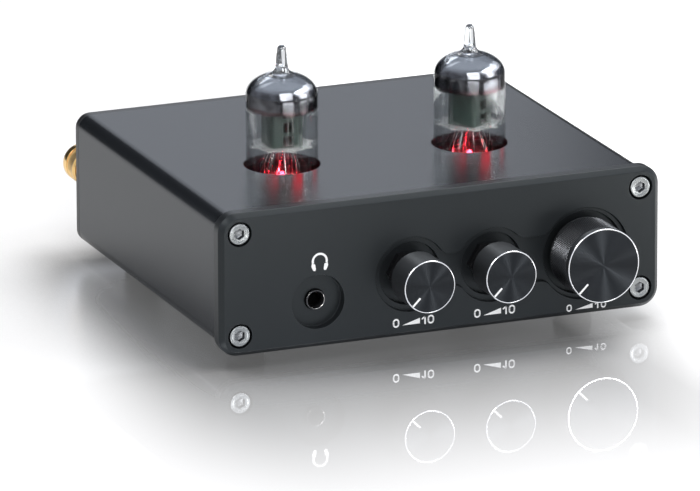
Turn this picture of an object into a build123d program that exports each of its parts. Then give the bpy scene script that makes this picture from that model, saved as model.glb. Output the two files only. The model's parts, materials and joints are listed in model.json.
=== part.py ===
"""Desktop phono preamplifier with two small vacuum tubes, three front knobs and a headphone jack.

Millimetres, +Z up. The front panel faces -Y. The origin is the centre of the footprint, on the
surface that the rubber feet stand on.
"""
from build123d import *
import math
import os

os.makedirs("parts", exist_ok=True)

# ------------------------------------------------------------------ driving sizes: the case
panel_width = 120.0
panel_height = 37.25
panel_thickness = 4.25
panel_corner = 5.0
panel_chamfer = 1.25
panel_overhang = 1.25
case_depth = 105.5
wall = 2.0
sleeve_corner = 3.75
rear_panel_thickness = 2.0
foot_height = 4.7
foot_radius = 5.0
foot_tread_radius = 4.4
foot_front_setback = 21.0
foot_rear_setback = 12.0
foot_side_setback = 13.75

# ------------------------------------------------------------------ driving sizes: reach beyond the case
knob_reach = 12.0
terminal_reach = 11.5

# ------------------------------------------------------------------ driving sizes: fasteners
screw_inset_x = 5.4
screw_inset_z = 5.325
screw_radius = 1.5
screw_head_radius = 2.75
screw_head_height = 3.0
screw_head_sink = 0.15
screw_length = 12.0
screw_key_across = 2.5
screw_key_depth = 1.6
screw_key_floor = 0.4
rear_head_height = 1.65
counterbore_radius = 3.2
port_radius = 2.6
thread_gap = 0.05

# ------------------------------------------------------------------ driving sizes: front controls
knob_axis_height = 16.2
jack_axis_height = 12.0
treble_x = -8.2
bass_x = 14.0
volume_x = 39.3
jack_x = -33.6
tone_knob_radius = 6.85
tone_knob_length = 9.2
volume_knob_radius = 9.7
volume_knob_length = 12.4
knob_edge = 0.45
knob_floor = 2.5
tone_recess_radius = 9.75
volume_recess_radius = 12.0
tone_well_radius = 8.2
volume_well_radius = 10.9
recess_depth = 1.2
well_depth = 3.2
tone_neck_height = 8.6
volume_neck_height = 12.0
neck_round = 3.0
dish_radius = 7.1
dish_depth = 2.5
pointer_width = 0.65
pointer_depth = 0.15
tone_pointer_start = 3.7
volume_pointer_start = 6.1

# ------------------------------------------------------------------ driving sizes: potentiometers
shaft_radius = 3.0
shaft_flat = 1.0
shaft_neck_radius = 1.6
running_gap = 0.05
bushing_radius = 3.5
bushing_front = 0.9
bushing_hole_gap = 0.1
nut_across = 10.0
nut_thickness = 1.9
pot_width = 9.8
pot_head_room = 5.4
pot_depth = 10.4
pot_front_wall = 1.4
pot_cover_thickness = 0.8
pot_cavity_radius = 4.3
rotor_radius = 3.9
rotor_thickness = 0.8
wiper_thickness = 0.3
wiper_gap = 0.1
track_thickness = 0.8
track_bore_radius = 2.0
gang_pitch = 3.6
first_rotor_setback = 2.2
switch_depth = 6.0
switch_wall = 1.0
cam_radius = 2.6

# ------------------------------------------------------------------ driving sizes: boards
board_thickness = 1.6
board_top_height = 12.0
board_side_gap = 4.75
board_end_gap = 0.5
rail_reach = 1.8
rail_lip = 1.1
rail_gap = 0.1
tube_board_width = 84.0
tube_board_depth = 28.0
support_radius = 2.5
support_pin_radius = 1.5
support_hole_gap = 0.1
support_inset = 4.0
support_head_radius = 2.0
support_head_height = 1.4
header_pins = 10
header_pitch = 2.54
header_width = 2.5
header_inset = 3.0
header_pin_radius = 0.32

# ------------------------------------------------------------------ driving sizes: tubes
tube_spacing = 51.7
tube_offset_x = -0.65
tube_setback = 41.9
tube_sink = 6.7
tube_height = 38.1
bulb_radius = 9.25
glass_wall = 0.9
tube_hole_radius = 9.8
dome_start = 25.2
dome_height = 6.1
dome_neck_radius = 2.1
neck_top = 33.2
nipple_base_radius = 1.75
nipple_top_radius = 1.15
nipple_bore_radius = 0.6
stem_radius = 7.8
stem_thickness = 2.0
heel_height = 2.3
heel_lift = 0.25
pin_count = 7
pin_places = 8
pin_circle_radius = 4.765
pin_radius = 0.5
pin_length = 6.4
lead_radius = 0.25
mica_radius = 7.3
mica_tooth_width = 1.4
mica_tooth_reach = 8.25
mica_thickness = 0.25
lower_mica_height = 11.8
upper_mica_height = 22.6
plate_width = 8.8
plate_depth = 8.4
plate_wall = 0.25
plate_corner = 1.2
window_width = 2.9
window_height = 2.5
window_pitch = 3.6
cathode_radius = 0.9
grid_rod_radius = 0.4
grid_rod_spacing = 4.4
support_rod_radius = 0.5
support_rod_spacing = 11.2
rod_overhang = 0.8
getter_gap = 0.1
getter_thickness = 0.1
getter_top_angle = 78.0
left_tube_turn = -10.0
right_tube_turn = 35.0

# ------------------------------------------------------------------ driving sizes: sockets and lamps
tube_socket_radius = 8.6
socket_height = 8.5
contact_radius = 0.9
contact_bore_radius = 0.56
contact_floor = 1.4
contact_tail_radius = 0.4
contact_tail = 1.0
lamp_radius = 1.5
lamp_gap = 0.1
lamp_body = 5.4
lamp_top_gap = 0.6
lamp_lead_spacing = 2.0

# ------------------------------------------------------------------ driving sizes: headphone jack
jack_body_width = 11.0
jack_body_height = 8.0
jack_body_depth = 13.0
jack_rim_radius = 2.6
jack_bore_radius = 1.8
jack_rim_sink = 1.5
jack_hole_gap = 0.1
jack_inner_bore_radius = 2.4
jack_slot_width = 1.2
jack_contact_thickness = 0.3
jack_contact_width = 1.0
jack_contact_gap = 0.25

# ------------------------------------------------------------------ driving sizes: rear terminals
socket_axis_height = 18.0
input_x = -29.0
output_x = 1.0
pair_spacing = 14.0
shell_radius = 4.15
shell_wall = 0.65
shell_reach = 9.5
shell_root_radius = 3.9
boss_radius = 4.7
insulator_sink = 0.4
centre_radius = 2.2
centre_bore_radius = 1.65
centre_sink = 2.0
rear_hole_gap = 0.2
block_depth = 10.0
block_height = 15.0
block_margin = 7.0
dc_x = 34.0
dc_width = 9.0
dc_height = 11.0
dc_depth = 14.0
dc_bore_radius = 3.15
dc_bore_depth = 9.5
dc_pin_radius = 1.05
dc_pin_root = 2.0
dc_pin_sink = 0.5
cutout_gap = 0.15
ground_inset = 5.45
ground_axis_height = 19.6
stud_radius = 2.0
stud_end_gap = 0.5
collar_radius = 4.0
collar_length = 2.5
lock_nut_across = 6.0
lock_nut_thickness = 2.4
washer_radius = 4.4
washer_thickness = 0.8
thumb_nut_radius = 4.95
thumb_groove_place = 2.7
thumb_groove_width = 0.6
thumb_groove_depth = 0.5

# ------------------------------------------------------------------ driving sizes: parts on the main board
can_radius = 5.0
can_height = 18.0
can_bead = 0.35
can_bead_lift = 2.5
can_count = 4
can_first_inset = 10.0
can_pitch = 12.0
can_rear_gap = 2.0
film_width = 7.2
film_depth = 3.5
film_height = 7.5
film_count = 4
film_first_inset = 10.0
film_pitch = 10.0
film_gap = 4.0
resistor_radius = 1.15
resistor_length = 6.2
resistor_lead_radius = 0.3
resistor_lead_span = 10.0
resistor_lift = 1.6
resistor_bend = 0.8
resistor_count = 9
resistor_pitch = 5.08
chip_count = 3
chip_first_x = 6.0
chip_spacing = 13.5
chip_gap = 4.0
chip_length = 9.4
chip_width = 6.4
chip_height = 3.2
chip_lift = 0.6
chip_pitch = 2.54
chip_leg_width = 0.5
chip_leg_thickness = 0.3
regulator_width = 10.2
regulator_body_height = 9.0
regulator_body_depth = 4.4
regulator_tab_height = 15.2
regulator_tab_depth = 1.3
regulator_lift = 3.0
regulator_hole_radius = 1.8
regulator_lead_width = 0.9
regulator_inset = 8.0
regulator_gap = 16.0

# ------------------------------------------------------------------ places worked out from the sizes
overall_depth = knob_reach + case_depth + terminal_reach
front_face = -overall_depth / 2 + knob_reach
panel_back = front_face + panel_thickness
rear_face = front_face + case_depth
rear_inner = rear_face - rear_panel_thickness
panel_bottom = foot_height - panel_overhang
panel_middle = panel_bottom + panel_height / 2
sleeve_width = panel_width - 2 * panel_overhang
sleeve_height = panel_height - 2 * panel_overhang
sleeve_top = foot_height + sleeve_height
inner_width = sleeve_width - 2 * wall
inner_height = sleeve_height - 2 * wall
board_half_width = inner_width / 2 - board_side_gap
ground_x = ground_inset - sleeve_width / 2
board_top = board_top_height
board_bottom = board_top - board_thickness
knob_axis = panel_bottom + knob_axis_height
jack_axis = panel_bottom + jack_axis_height
socket_axis = panel_bottom + socket_axis_height
ground_axis = panel_bottom + ground_axis_height
seat = sleeve_top - tube_sink
tube_board_top = seat - socket_height
tube_board_bottom = tube_board_top - board_thickness
tube_y = front_face + tube_setback
tube_places = [tube_offset_x - tube_spacing / 2, tube_offset_x + tube_spacing / 2]
screw_places = [
    (side * (panel_width / 2 - screw_inset_x), panel_middle + level * (panel_height / 2 - screw_inset_z))
    for side in (-1, 1)
    for level in (-1, 1)
]
rca_places = [
    pair + side * pair_spacing / 2 for pair in (input_x, output_x) for side in (-1, 1)
]


def facing_front(y):
    """A sketch plane at y: its x is +X, its y is +Z, and it extrudes towards the front."""
    return Plane(origin=(0, y, 0), x_dir=(1, 0, 0), z_dir=(0, -1, 0))


def turned(x, z, steps):
    """A turned piece along Y at (x, z), from (radius, start, end) steps."""
    with BuildPart() as piece:
        for radius, start, end in steps:
            with BuildSketch(facing_front(start)):
                with Locations((x, z)):
                    Circle(radius)
            extrude(amount=start - end)
    return piece.part


def rings(places, outer, inner, start, end):
    """Tubes along Y at each (x, z) place, as separate solids."""
    with BuildPart() as pieces:
        with BuildSketch(facing_front(start)):
            with Locations(*places):
                Circle(outer)
                Circle(inner, mode=Mode.SUBTRACT)
        extrude(amount=start - end)
    return pieces.part


def save(piece, name):
    """Labels a finished piece and writes its STEP file."""
    piece.label = name
    export_step(piece, f"parts/{name}.step")


# ------------------------------------------------------------------ chassis sleeve
# One extrusion: four screw ports in the corners and a slotted rail on each side for the board.
rail_inner = board_half_width - rail_reach
rail_outer = inner_width / 2 + wall / 2
rail_height = board_thickness + 2 * rail_gap + 2 * rail_lip
slot_outer = board_half_width + 2 * rail_gap
with BuildPart() as chassis_sleeve:
    with BuildSketch(facing_front(panel_back)):
        with Locations((0, panel_middle)):
            RectangleRounded(sleeve_width, sleeve_height, sleeve_corner)
            RectangleRounded(inner_width, inner_height, sleeve_corner - wall, mode=Mode.SUBTRACT)
        with Locations(*screw_places):
            Circle(port_radius)
        for side in (-1, 1):
            with Locations((side * (rail_inner + rail_outer) / 2, board_top - board_thickness / 2)):
                Rectangle(rail_outer - rail_inner, rail_height)
            with Locations((side * (rail_inner + slot_outer) / 2, board_top - board_thickness / 2)):
                Rectangle(
                    slot_outer - rail_inner, board_thickness + 2 * rail_gap, mode=Mode.SUBTRACT
                )
        with Locations(*screw_places):
            Circle(screw_radius + thread_gap, mode=Mode.SUBTRACT)
    extrude(amount=panel_back - rear_inner)
    with BuildSketch(Plane.XY.offset(sleeve_top)):
        with Locations(*[(x, tube_y) for x in tube_places]):
            Circle(tube_hole_radius)
    extrude(amount=-2 * wall, mode=Mode.SUBTRACT)
save(chassis_sleeve.part, "chassis_sleeve")

# ------------------------------------------------------------------ front panel
knob_places = [(treble_x, knob_axis), (bass_x, knob_axis), (volume_x, knob_axis)]
recess_radii = [tone_recess_radius, tone_recess_radius, volume_recess_radius]
well_radii = [tone_well_radius, tone_well_radius, volume_well_radius]
neck_heights = [tone_neck_height, volume_neck_height]
with BuildPart() as front_panel:
    with BuildSketch(facing_front(panel_back)):
        with Locations((0, panel_middle)):
            RectangleRounded(panel_width, panel_height, panel_corner)
    extrude(amount=panel_thickness)
    chamfer(front_panel.faces().sort_by(Axis.Y)[0].edges(), panel_chamfer)
    with BuildSketch(facing_front(front_face)) as recess:
        for place, radius in zip(knob_places, recess_radii):
            with Locations(place):
                Circle(radius)
        for first, second, height in zip(knob_places, knob_places[1:], neck_heights):
            with Locations(((first[0] + second[0]) / 2, knob_axis)):
                Rectangle(second[0] - first[0], height)
        neck_corners = [
            vertex
            for vertex in recess.vertices()
            for height in neck_heights
            if abs(abs(vertex.Y - knob_axis) - height / 2) < 0.001
        ]
        fillet(neck_corners, neck_round)
    extrude(amount=-recess_depth, mode=Mode.SUBTRACT)
    for place, radius in zip(knob_places, well_radii):
        with BuildSketch(facing_front(front_face)):
            with Locations(place):
                Circle(radius)
        extrude(amount=-well_depth, mode=Mode.SUBTRACT)
    with BuildSketch(facing_front(front_face)):
        with Locations((jack_x, jack_axis)):
            Circle(dish_radius)
    extrude(amount=-dish_depth, mode=Mode.SUBTRACT)
    with BuildSketch(facing_front(front_face)):
        with Locations(*screw_places):
            Circle(counterbore_radius)
    extrude(amount=-screw_head_height - screw_head_sink, mode=Mode.SUBTRACT)
    with BuildSketch(facing_front(front_face)):
        with Locations(*knob_places):
            Circle(bushing_radius + bushing_hole_gap)
        with Locations((jack_x, jack_axis)):
            Circle(jack_rim_radius + jack_hole_gap)
        with Locations(*screw_places):
            Circle(screw_radius + bushing_hole_gap)
    extrude(amount=-panel_thickness, mode=Mode.SUBTRACT)
save(front_panel.part, "front_panel")

# ------------------------------------------------------------------ rear panel
shell_places = [(x, socket_axis) for x in rca_places]
dc_axis = board_top + dc_height / 2
with BuildPart() as rear_panel:
    with BuildSketch(facing_front(rear_inner)):
        with Locations((0, panel_middle)):
            RectangleRounded(sleeve_width, sleeve_height, sleeve_corner)
        with Locations(*screw_places):
            Circle(screw_radius + bushing_hole_gap, mode=Mode.SUBTRACT)
        with Locations(*shell_places):
            Circle(boss_radius + rear_hole_gap, mode=Mode.SUBTRACT)
        with Locations((dc_x, dc_axis)):
            Rectangle(dc_width + 2 * cutout_gap, dc_height + 2 * cutout_gap, mode=Mode.SUBTRACT)
        with Locations((ground_x, ground_axis)):
            Circle(stud_radius + rear_hole_gap, mode=Mode.SUBTRACT)
    extrude(amount=-rear_panel_thickness)
save(rear_panel.part, "rear_panel")


# ------------------------------------------------------------------ panel screws
def panel_screws(seat_y, direction, head_height):
    """Four socket screws. Their heads sit on seat_y and point along direction (-1 is the front)."""
    head_end = seat_y + direction * head_height
    with BuildPart() as screws:
        with BuildSketch(facing_front(seat_y)):
            with Locations(*screw_places):
                Circle(screw_head_radius)
        extrude(amount=-direction * head_height)
        with BuildSketch(facing_front(seat_y)):
            with Locations(*screw_places):
                Circle(screw_radius)
        extrude(amount=direction * screw_length)
        with BuildSketch(facing_front(head_end)):
            with Locations(*screw_places):
                RegularPolygon(screw_key_across / 2, 6, major_radius=False)
        extrude(amount=direction * min(screw_key_depth, head_height - screw_key_floor), mode=Mode.SUBTRACT)
    return screws.part


front_seat = front_face + screw_head_height + screw_head_sink
save(panel_screws(front_seat, -1, screw_head_height), "front_panel_screws")
save(panel_screws(rear_face, 1, rear_head_height), "rear_panel_screws")

# ------------------------------------------------------------------ rubber feet
foot_x = sleeve_width / 2 - foot_side_setback
foot_places = [
    (side * foot_x, y)
    for side in (-1, 1)
    for y in (front_face + foot_front_setback, rear_face - foot_rear_setback)
]
with BuildPart() as rubber_feet:
    with BuildSketch():
        with Locations(*foot_places):
            Circle(foot_tread_radius)
    with BuildSketch(Plane.XY.offset(foot_height)):
        with Locations(*foot_places):
            Circle(foot_radius)
    for tread, top in zip(rubber_feet.pending_faces[:4], rubber_feet.pending_faces[4:]):
        loft([tread, top])
save(rubber_feet.part, "rubber_feet")

# ------------------------------------------------------------------ main board, tube board, what joins them
support_places = [
    (
        tube_offset_x + side * (tube_board_width / 2 - support_inset),
        tube_y + end * (tube_board_depth / 2 - support_inset),
    )
    for side in (-1, 1)
    for end in (-1, 1)
]
header_y = tube_y - tube_board_depth / 2 + header_inset
header_places = [
    (tube_offset_x + (index - (header_pins - 1) / 2) * header_pitch, header_y)
    for index in range(header_pins)
]
contact_angles = [360 / pin_places * (index + 1) for index in range(pin_count)]


def around(centre_x, centre_y, radius, angles, turn=0.0):
    """Points on a circle at the given angles in degrees."""
    return [
        (
            centre_x + radius * math.cos(math.radians(angle + turn)),
            centre_y + radius * math.sin(math.radians(angle + turn)),
        )
        for angle in angles
    ]


tube_turns = [left_tube_turn, right_tube_turn]
contact_places = [
    point
    for x, turn in zip(tube_places, tube_turns)
    for point in around(x, tube_y, pin_circle_radius, contact_angles, turn)
]
lamp_lead_places = [
    (x + side * lamp_lead_spacing / 2, tube_y) for x in tube_places for side in (-1, 1)
]
main_board_front = panel_back + board_end_gap
main_board_rear = rear_inner - board_end_gap
with BuildPart() as main_board:
    with BuildSketch(Plane.XY.offset(board_bottom)):
        with Locations((0, (main_board_front + main_board_rear) / 2)):
            Rectangle(2 * board_half_width, main_board_rear - main_board_front)
        with Locations(*support_places):
            Circle(support_pin_radius + support_hole_gap, mode=Mode.SUBTRACT)
        with Locations(*header_places):
            Circle(header_pin_radius, mode=Mode.SUBTRACT)
    extrude(amount=board_thickness)
save(main_board.part, "main_board")

with BuildPart() as tube_board:
    with BuildSketch(Plane.XY.offset(tube_board_bottom)):
        with Locations((tube_offset_x, tube_y)):
            Rectangle(tube_board_width, tube_board_depth)
        with Locations(*support_places):
            Circle(support_pin_radius + support_hole_gap, mode=Mode.SUBTRACT)
        with Locations(*header_places):
            Circle(header_pin_radius, mode=Mode.SUBTRACT)
        with Locations(*contact_places):
            Circle(contact_tail_radius, mode=Mode.SUBTRACT)
        with Locations(*lamp_lead_places):
            Circle(lead_radius, mode=Mode.SUBTRACT)
    extrude(amount=board_thickness)
save(tube_board.part, "tube_board")

with BuildPart() as board_supports:
    with BuildSketch(Plane.XY.offset(board_top)):
        with Locations(*support_places):
            Circle(support_radius)
    extrude(amount=tube_board_bottom - board_top)
    for level in (board_bottom, tube_board_bottom):
        with BuildSketch(Plane.XY.offset(level)):
            with Locations(*support_places):
                Circle(support_pin_radius)
        extrude(amount=board_thickness)
    with BuildSketch(Plane.XY.offset(tube_board_top)):
        with Locations(*support_places):
            Circle(support_head_radius)
    extrude(amount=support_head_height)
    with BuildSketch(Plane.XY.offset(board_bottom)):
        with Locations(*support_places):
            Circle(support_head_radius)
    extrude(amount=-support_head_height)
save(board_supports.part, "board_supports")

with BuildPart() as board_header:
    with BuildSketch(Plane.XY.offset(board_top)):
        with Locations((tube_offset_x, header_y)):
            Rectangle(header_pins * header_pitch, header_width)
    extrude(amount=tube_board_bottom - board_top)
    with BuildSketch(Plane.XY.offset(board_bottom)):
        with Locations(*header_places):
            Circle(header_pin_radius)
    extrude(amount=tube_board_top - board_bottom)
save(board_header.part, "board_header")

# ------------------------------------------------------------------ potentiometers
# Each is a stereo pair: two rotors on one shaft, each with its wiper against a track.
bushing_end = front_face + bushing_front
well_floor = front_face + well_depth
pot_rear = panel_back + pot_depth
pot_cover = pot_rear - pot_cover_thickness
pot_bottom = board_top
pot_top = knob_axis + pot_head_room
pot_middle = (pot_bottom + pot_top) / 2
rotor_starts = [panel_back + first_rotor_setback + gang * gang_pitch for gang in range(2)]
track_setback = rotor_thickness + wiper_thickness + wiper_gap
with BuildPart() as pot_housings:
    with BuildSketch(facing_front(panel_back)):
        for x, _ in knob_places:
            with Locations((x, pot_middle)):
                Rectangle(pot_width, pot_top - pot_bottom)
    extrude(amount=panel_back - pot_cover)
    with BuildSketch(facing_front(panel_back)):
        with Locations(*knob_places):
            Circle(bushing_radius)
    extrude(amount=panel_back - bushing_end)
    with BuildSketch(facing_front(panel_back + pot_front_wall)):
        with Locations(*knob_places):
            Circle(pot_cavity_radius)
    extrude(amount=panel_back + pot_front_wall - pot_cover, mode=Mode.SUBTRACT)
    with BuildSketch(facing_front(bushing_end)):
        with Locations(*knob_places):
            Circle(shaft_radius + running_gap)
    extrude(amount=bushing_end - panel_back - pot_front_wall, mode=Mode.SUBTRACT)
save(pot_housings.part, "pot_housings")

with BuildPart() as pot_rear_covers:
    with BuildSketch(facing_front(pot_cover)):
        for x, _ in knob_places:
            with Locations((x, pot_middle)):
                Rectangle(pot_width, pot_top - pot_bottom)
        with Locations(knob_places[2]):
            Circle(shaft_neck_radius + running_gap, mode=Mode.SUBTRACT)
    extrude(amount=-pot_cover_thickness)
save(pot_rear_covers.part, "pot_rear_covers")

with BuildPart() as pot_nuts:
    with BuildSketch(facing_front(well_floor)):
        with Locations(*knob_places):
            RegularPolygon(nut_across / 2, 6, major_radius=False)
            Circle(bushing_radius, mode=Mode.SUBTRACT)
    extrude(amount=nut_thickness)
save(pot_nuts.part, "pot_nuts")

with BuildPart() as pot_tracks:
    for start in rotor_starts:
        with BuildSketch(facing_front(start + track_setback)):
            with Locations(*knob_places):
                Circle(pot_cavity_radius)
                Circle(track_bore_radius, mode=Mode.SUBTRACT)
        extrude(amount=-track_thickness)
save(pot_tracks.part, "pot_tracks")

with BuildPart() as power_switch:
    with BuildSketch(facing_front(pot_rear)):
        with Locations((volume_x, pot_middle)):
            Rectangle(pot_width, pot_top - pot_bottom)
    extrude(amount=-switch_depth)
    with BuildSketch(facing_front(pot_rear)):
        with Locations((volume_x, knob_axis)):
            Circle(cam_radius + 4 * wiper_gap)
    extrude(amount=-switch_depth + switch_wall, mode=Mode.SUBTRACT)
save(power_switch.part, "power_switch")


def shaft(x, knob_rear, tail_end):
    """A potentiometer shaft: flatted end in the knob, bushing journal, two rotors on a neck."""
    tip = front_face - knob_reach + knob_floor
    journal_end = panel_back + pot_front_wall
    with BuildPart() as piece:
        with BuildSketch(facing_front(tip)):
            with Locations((x, knob_axis)):
                Circle(shaft_radius)
            with Locations((x, knob_axis + shaft_radius)):
                Rectangle(2 * shaft_radius, 2 * shaft_flat, mode=Mode.SUBTRACT)
        extrude(amount=tip - knob_rear)
        with BuildSketch(facing_front(knob_rear)):
            with Locations((x, knob_axis)):
                Circle(shaft_radius)
        extrude(amount=knob_rear - journal_end)
        with BuildSketch(facing_front(journal_end)):
            with Locations((x, knob_axis)):
                Circle(shaft_neck_radius)
        extrude(amount=journal_end - tail_end)
        for start in rotor_starts:
            with BuildSketch(facing_front(start)):
                with Locations((x, knob_axis)):
                    Circle(rotor_radius)
            extrude(amount=-rotor_thickness)
        if tail_end > pot_rear:
            with BuildSketch(facing_front(pot_rear + switch_wall)):
                with Locations((x, knob_axis)):
                    Circle(cam_radius)
                with Locations((x - cam_radius, knob_axis)):
                    Rectangle(2 * cam_radius, 2 * shaft_radius, mode=Mode.SUBTRACT)
            extrude(amount=pot_rear + switch_wall - tail_end)
    return piece.part


def wipers(x):
    """Two spring arms with a contact ring, one in front of each track."""
    with BuildPart() as piece:
        for start in rotor_starts:
            with BuildSketch(facing_front(start + rotor_thickness)):
                with Locations((x, knob_axis)):
                    Circle(track_bore_radius + rotor_thickness)
                    Circle(shaft_neck_radius, mode=Mode.SUBTRACT)
                with Locations((x, knob_axis - rotor_radius / 2)):
                    Rectangle(2 * shaft_neck_radius, rotor_radius)
                with Locations((x, knob_axis)):
                    Circle(shaft_neck_radius, mode=Mode.SUBTRACT)
            extrude(amount=-wiper_thickness)
    return piece.part


tone_rear = front_face - knob_reach + tone_knob_length
volume_rear = front_face - knob_reach + volume_knob_length
plain_tail = pot_cover - wiper_gap
switch_tail = pot_rear + switch_depth - switch_wall - wiper_gap
save(shaft(treble_x, tone_rear, plain_tail), "treble_shaft")
save(shaft(bass_x, tone_rear, plain_tail), "bass_shaft")
save(shaft(volume_x, volume_rear, switch_tail), "volume_shaft")
save(wipers(treble_x), "treble_wipers")
save(wipers(bass_x), "bass_wipers")
save(wipers(volume_x), "volume_wipers")


# ------------------------------------------------------------------ knobs
def knob(x, radius, length, pointer_start):
    """A turned knob: bright chamfered rim, engraved pointer at the lower left, flatted bore."""
    face = front_face - knob_reach
    pointer_end = radius - knob_edge
    pointer_middle = (pointer_start + pointer_end) / 2 * math.sqrt(0.5)
    with BuildPart() as piece:
        with BuildSketch(facing_front(face)):
            with Locations((x, knob_axis)):
                Circle(radius)
        extrude(amount=-length)
        chamfer(piece.faces().sort_by(Axis.Y)[0].edges(), knob_edge)
        with BuildSketch(facing_front(face)):
            with Locations(Location((x - pointer_middle, knob_axis - pointer_middle, 0), (0, 0, 45))):
                Rectangle(pointer_end - pointer_start, pointer_width)
        extrude(amount=-pointer_depth, mode=Mode.SUBTRACT)
        with BuildSketch(facing_front(face + knob_floor)):
            with Locations((x, knob_axis)):
                Circle(shaft_radius)
            with Locations((x, knob_axis + shaft_radius)):
                Rectangle(2 * shaft_radius, 2 * shaft_flat, mode=Mode.SUBTRACT)
        extrude(amount=knob_floor - length, mode=Mode.SUBTRACT)
    return piece.part


save(knob(treble_x, tone_knob_radius, tone_knob_length, tone_pointer_start), "treble_knob")
save(knob(bass_x, tone_knob_radius, tone_knob_length, tone_pointer_start), "bass_knob")
save(knob(volume_x, volume_knob_radius, volume_knob_length, volume_pointer_start), "volume_knob")

# ------------------------------------------------------------------ headphone jack
jack_front = front_face + jack_rim_sink
jack_rear = panel_back + jack_body_depth
jack_body_bottom = board_top
slot_depth = jack_contact_thickness + jack_contact_gap
contact_offset = jack_inner_bore_radius + jack_contact_gap
contact_levels = [jack_axis - jack_slot_width, jack_axis + jack_slot_width]
with BuildPart() as headphone_jack_body:
    with BuildSketch(facing_front(panel_back)):
        with Locations((jack_x, jack_body_bottom + jack_body_height / 2)):
            Rectangle(jack_body_width, jack_body_height)
        with Locations((jack_x, jack_axis)):
            Circle(jack_inner_bore_radius, mode=Mode.SUBTRACT)
    extrude(amount=panel_back - jack_rear)
    with BuildSketch(facing_front(panel_back + wall)):
        for side in (-1, 1):
            with Locations((jack_x + side * contact_offset, jack_axis)):
                Rectangle(2 * slot_depth, jack_slot_width)
    extrude(amount=panel_back + wall - jack_rear, mode=Mode.SUBTRACT)
save(headphone_jack_body.part, "headphone_jack_body")

save(
    rings([(jack_x, jack_axis)], jack_rim_radius, jack_bore_radius, jack_front, panel_back),
    "headphone_jack_bushing",
)

with BuildPart() as headphone_jack_contacts:
    with BuildSketch(facing_front(panel_back + wall)):
        for side in (-1, 1):
            with Locations(
                (jack_x + side * (contact_offset + slot_depth - jack_contact_thickness / 2), jack_axis)
            ):
                Rectangle(jack_contact_thickness, jack_contact_width)
    extrude(amount=panel_back + wall - jack_rear)
save(headphone_jack_contacts.part, "headphone_jack_contacts")

# ------------------------------------------------------------------ phono sockets
shell_end = rear_face + shell_reach
shell_bore = shell_radius - shell_wall
insulator_end = shell_end - insulator_sink
centre_end = shell_end - centre_sink
block_front = rear_inner - block_depth
with BuildPart() as rca_housings:
    with BuildSketch(facing_front(block_front)):
        for x in (input_x, output_x):
            with Locations((x, board_top + block_height / 2)):
                Rectangle(pair_spacing + 2 * block_margin, block_height)
    extrude(amount=block_front - rear_inner)
    with BuildSketch(facing_front(rear_inner)):
        with Locations(*shell_places):
            Circle(boss_radius)
            Circle(shell_root_radius, mode=Mode.SUBTRACT)
    extrude(amount=-rear_panel_thickness)
save(rca_housings.part, "rca_housings")

with BuildPart() as rca_shells:
    with BuildSketch(facing_front(rear_inner)):
        with Locations(*shell_places):
            Circle(shell_root_radius)
    extrude(amount=rear_inner - rear_face)
    with BuildSketch(facing_front(rear_face)):
        with Locations(*shell_places):
            Circle(shell_radius)
    extrude(amount=-shell_reach)
    with BuildSketch(facing_front(rear_inner)):
        with Locations(*shell_places):
            Circle(shell_bore)
    extrude(amount=rear_inner - shell_end, mode=Mode.SUBTRACT)
save(rca_shells.part, "rca_shells")
save(
    rings(shell_places[::2], shell_bore, centre_radius, rear_inner, insulator_end),
    "rca_insulators_white",
)
save(
    rings(shell_places[1::2], shell_bore, centre_radius, rear_inner, insulator_end),
    "rca_insulators_red",
)
save(
    rings(shell_places, centre_radius, centre_bore_radius, rear_inner, centre_end),
    "rca_centre_contacts",
)

# ------------------------------------------------------------------ power inlet
dc_front = rear_face - dc_depth
dc_floor = rear_face - dc_bore_depth
with BuildPart() as dc_jack_body:
    with BuildSketch(facing_front(dc_front)):
        with Locations((dc_x, dc_axis)):
            Rectangle(dc_width, dc_height)
    extrude(amount=-dc_depth)
    with BuildSketch(facing_front(dc_floor)):
        with Locations((dc_x, dc_axis)):
            Circle(dc_bore_radius)
    extrude(amount=-dc_bore_depth, mode=Mode.SUBTRACT)
    with BuildSketch(facing_front(dc_floor - dc_pin_root)):
        with Locations((dc_x, dc_axis)):
            Circle(dc_pin_radius)
    extrude(amount=-dc_pin_root, mode=Mode.SUBTRACT)
save(dc_jack_body.part, "dc_jack_body")
save(
    turned(dc_x, dc_axis, [(dc_pin_radius, dc_floor - dc_pin_root, rear_face - dc_pin_sink)]),
    "dc_jack_pin",
)

# ------------------------------------------------------------------ ground terminal
stud_root = rear_inner - lock_nut_thickness - stud_end_gap
collar_end = rear_face + collar_length
washer_end = collar_end + washer_thickness
nut_end = rear_face + terminal_reach
ground_place = (ground_x, ground_axis)
save(
    turned(
        ground_x,
        ground_axis,
        [(stud_radius, stud_root, nut_end - stud_end_gap), (collar_radius, rear_face, collar_end)],
    ),
    "ground_stud",
)

with BuildPart() as ground_lock_nut:
    with BuildSketch(facing_front(rear_inner)):
        with Locations(ground_place):
            RegularPolygon(lock_nut_across / 2, 6, major_radius=False, rotation=30)
            Circle(stud_radius, mode=Mode.SUBTRACT)
    extrude(amount=lock_nut_thickness)
save(ground_lock_nut.part, "ground_lock_nut")
save(
    rings([ground_place], washer_radius, stud_radius + running_gap, collar_end, washer_end),
    "ground_washer",
)

groove_start = nut_end - thumb_groove_place - thumb_groove_width
with BuildPart() as ground_thumb_nut:
    with BuildSketch(facing_front(washer_end)):
        with Locations(ground_place):
            Circle(thumb_nut_radius)
            Circle(stud_radius + running_gap, mode=Mode.SUBTRACT)
    extrude(amount=washer_end - nut_end)
    with BuildSketch(facing_front(groove_start)):
        with Locations(ground_place):
            Circle(thumb_nut_radius)
            Circle(thumb_nut_radius - thumb_groove_depth, mode=Mode.SUBTRACT)
    extrude(amount=-thumb_groove_width, mode=Mode.SUBTRACT)
save(ground_thumb_nut.part, "ground_thumb_nut")

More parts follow.
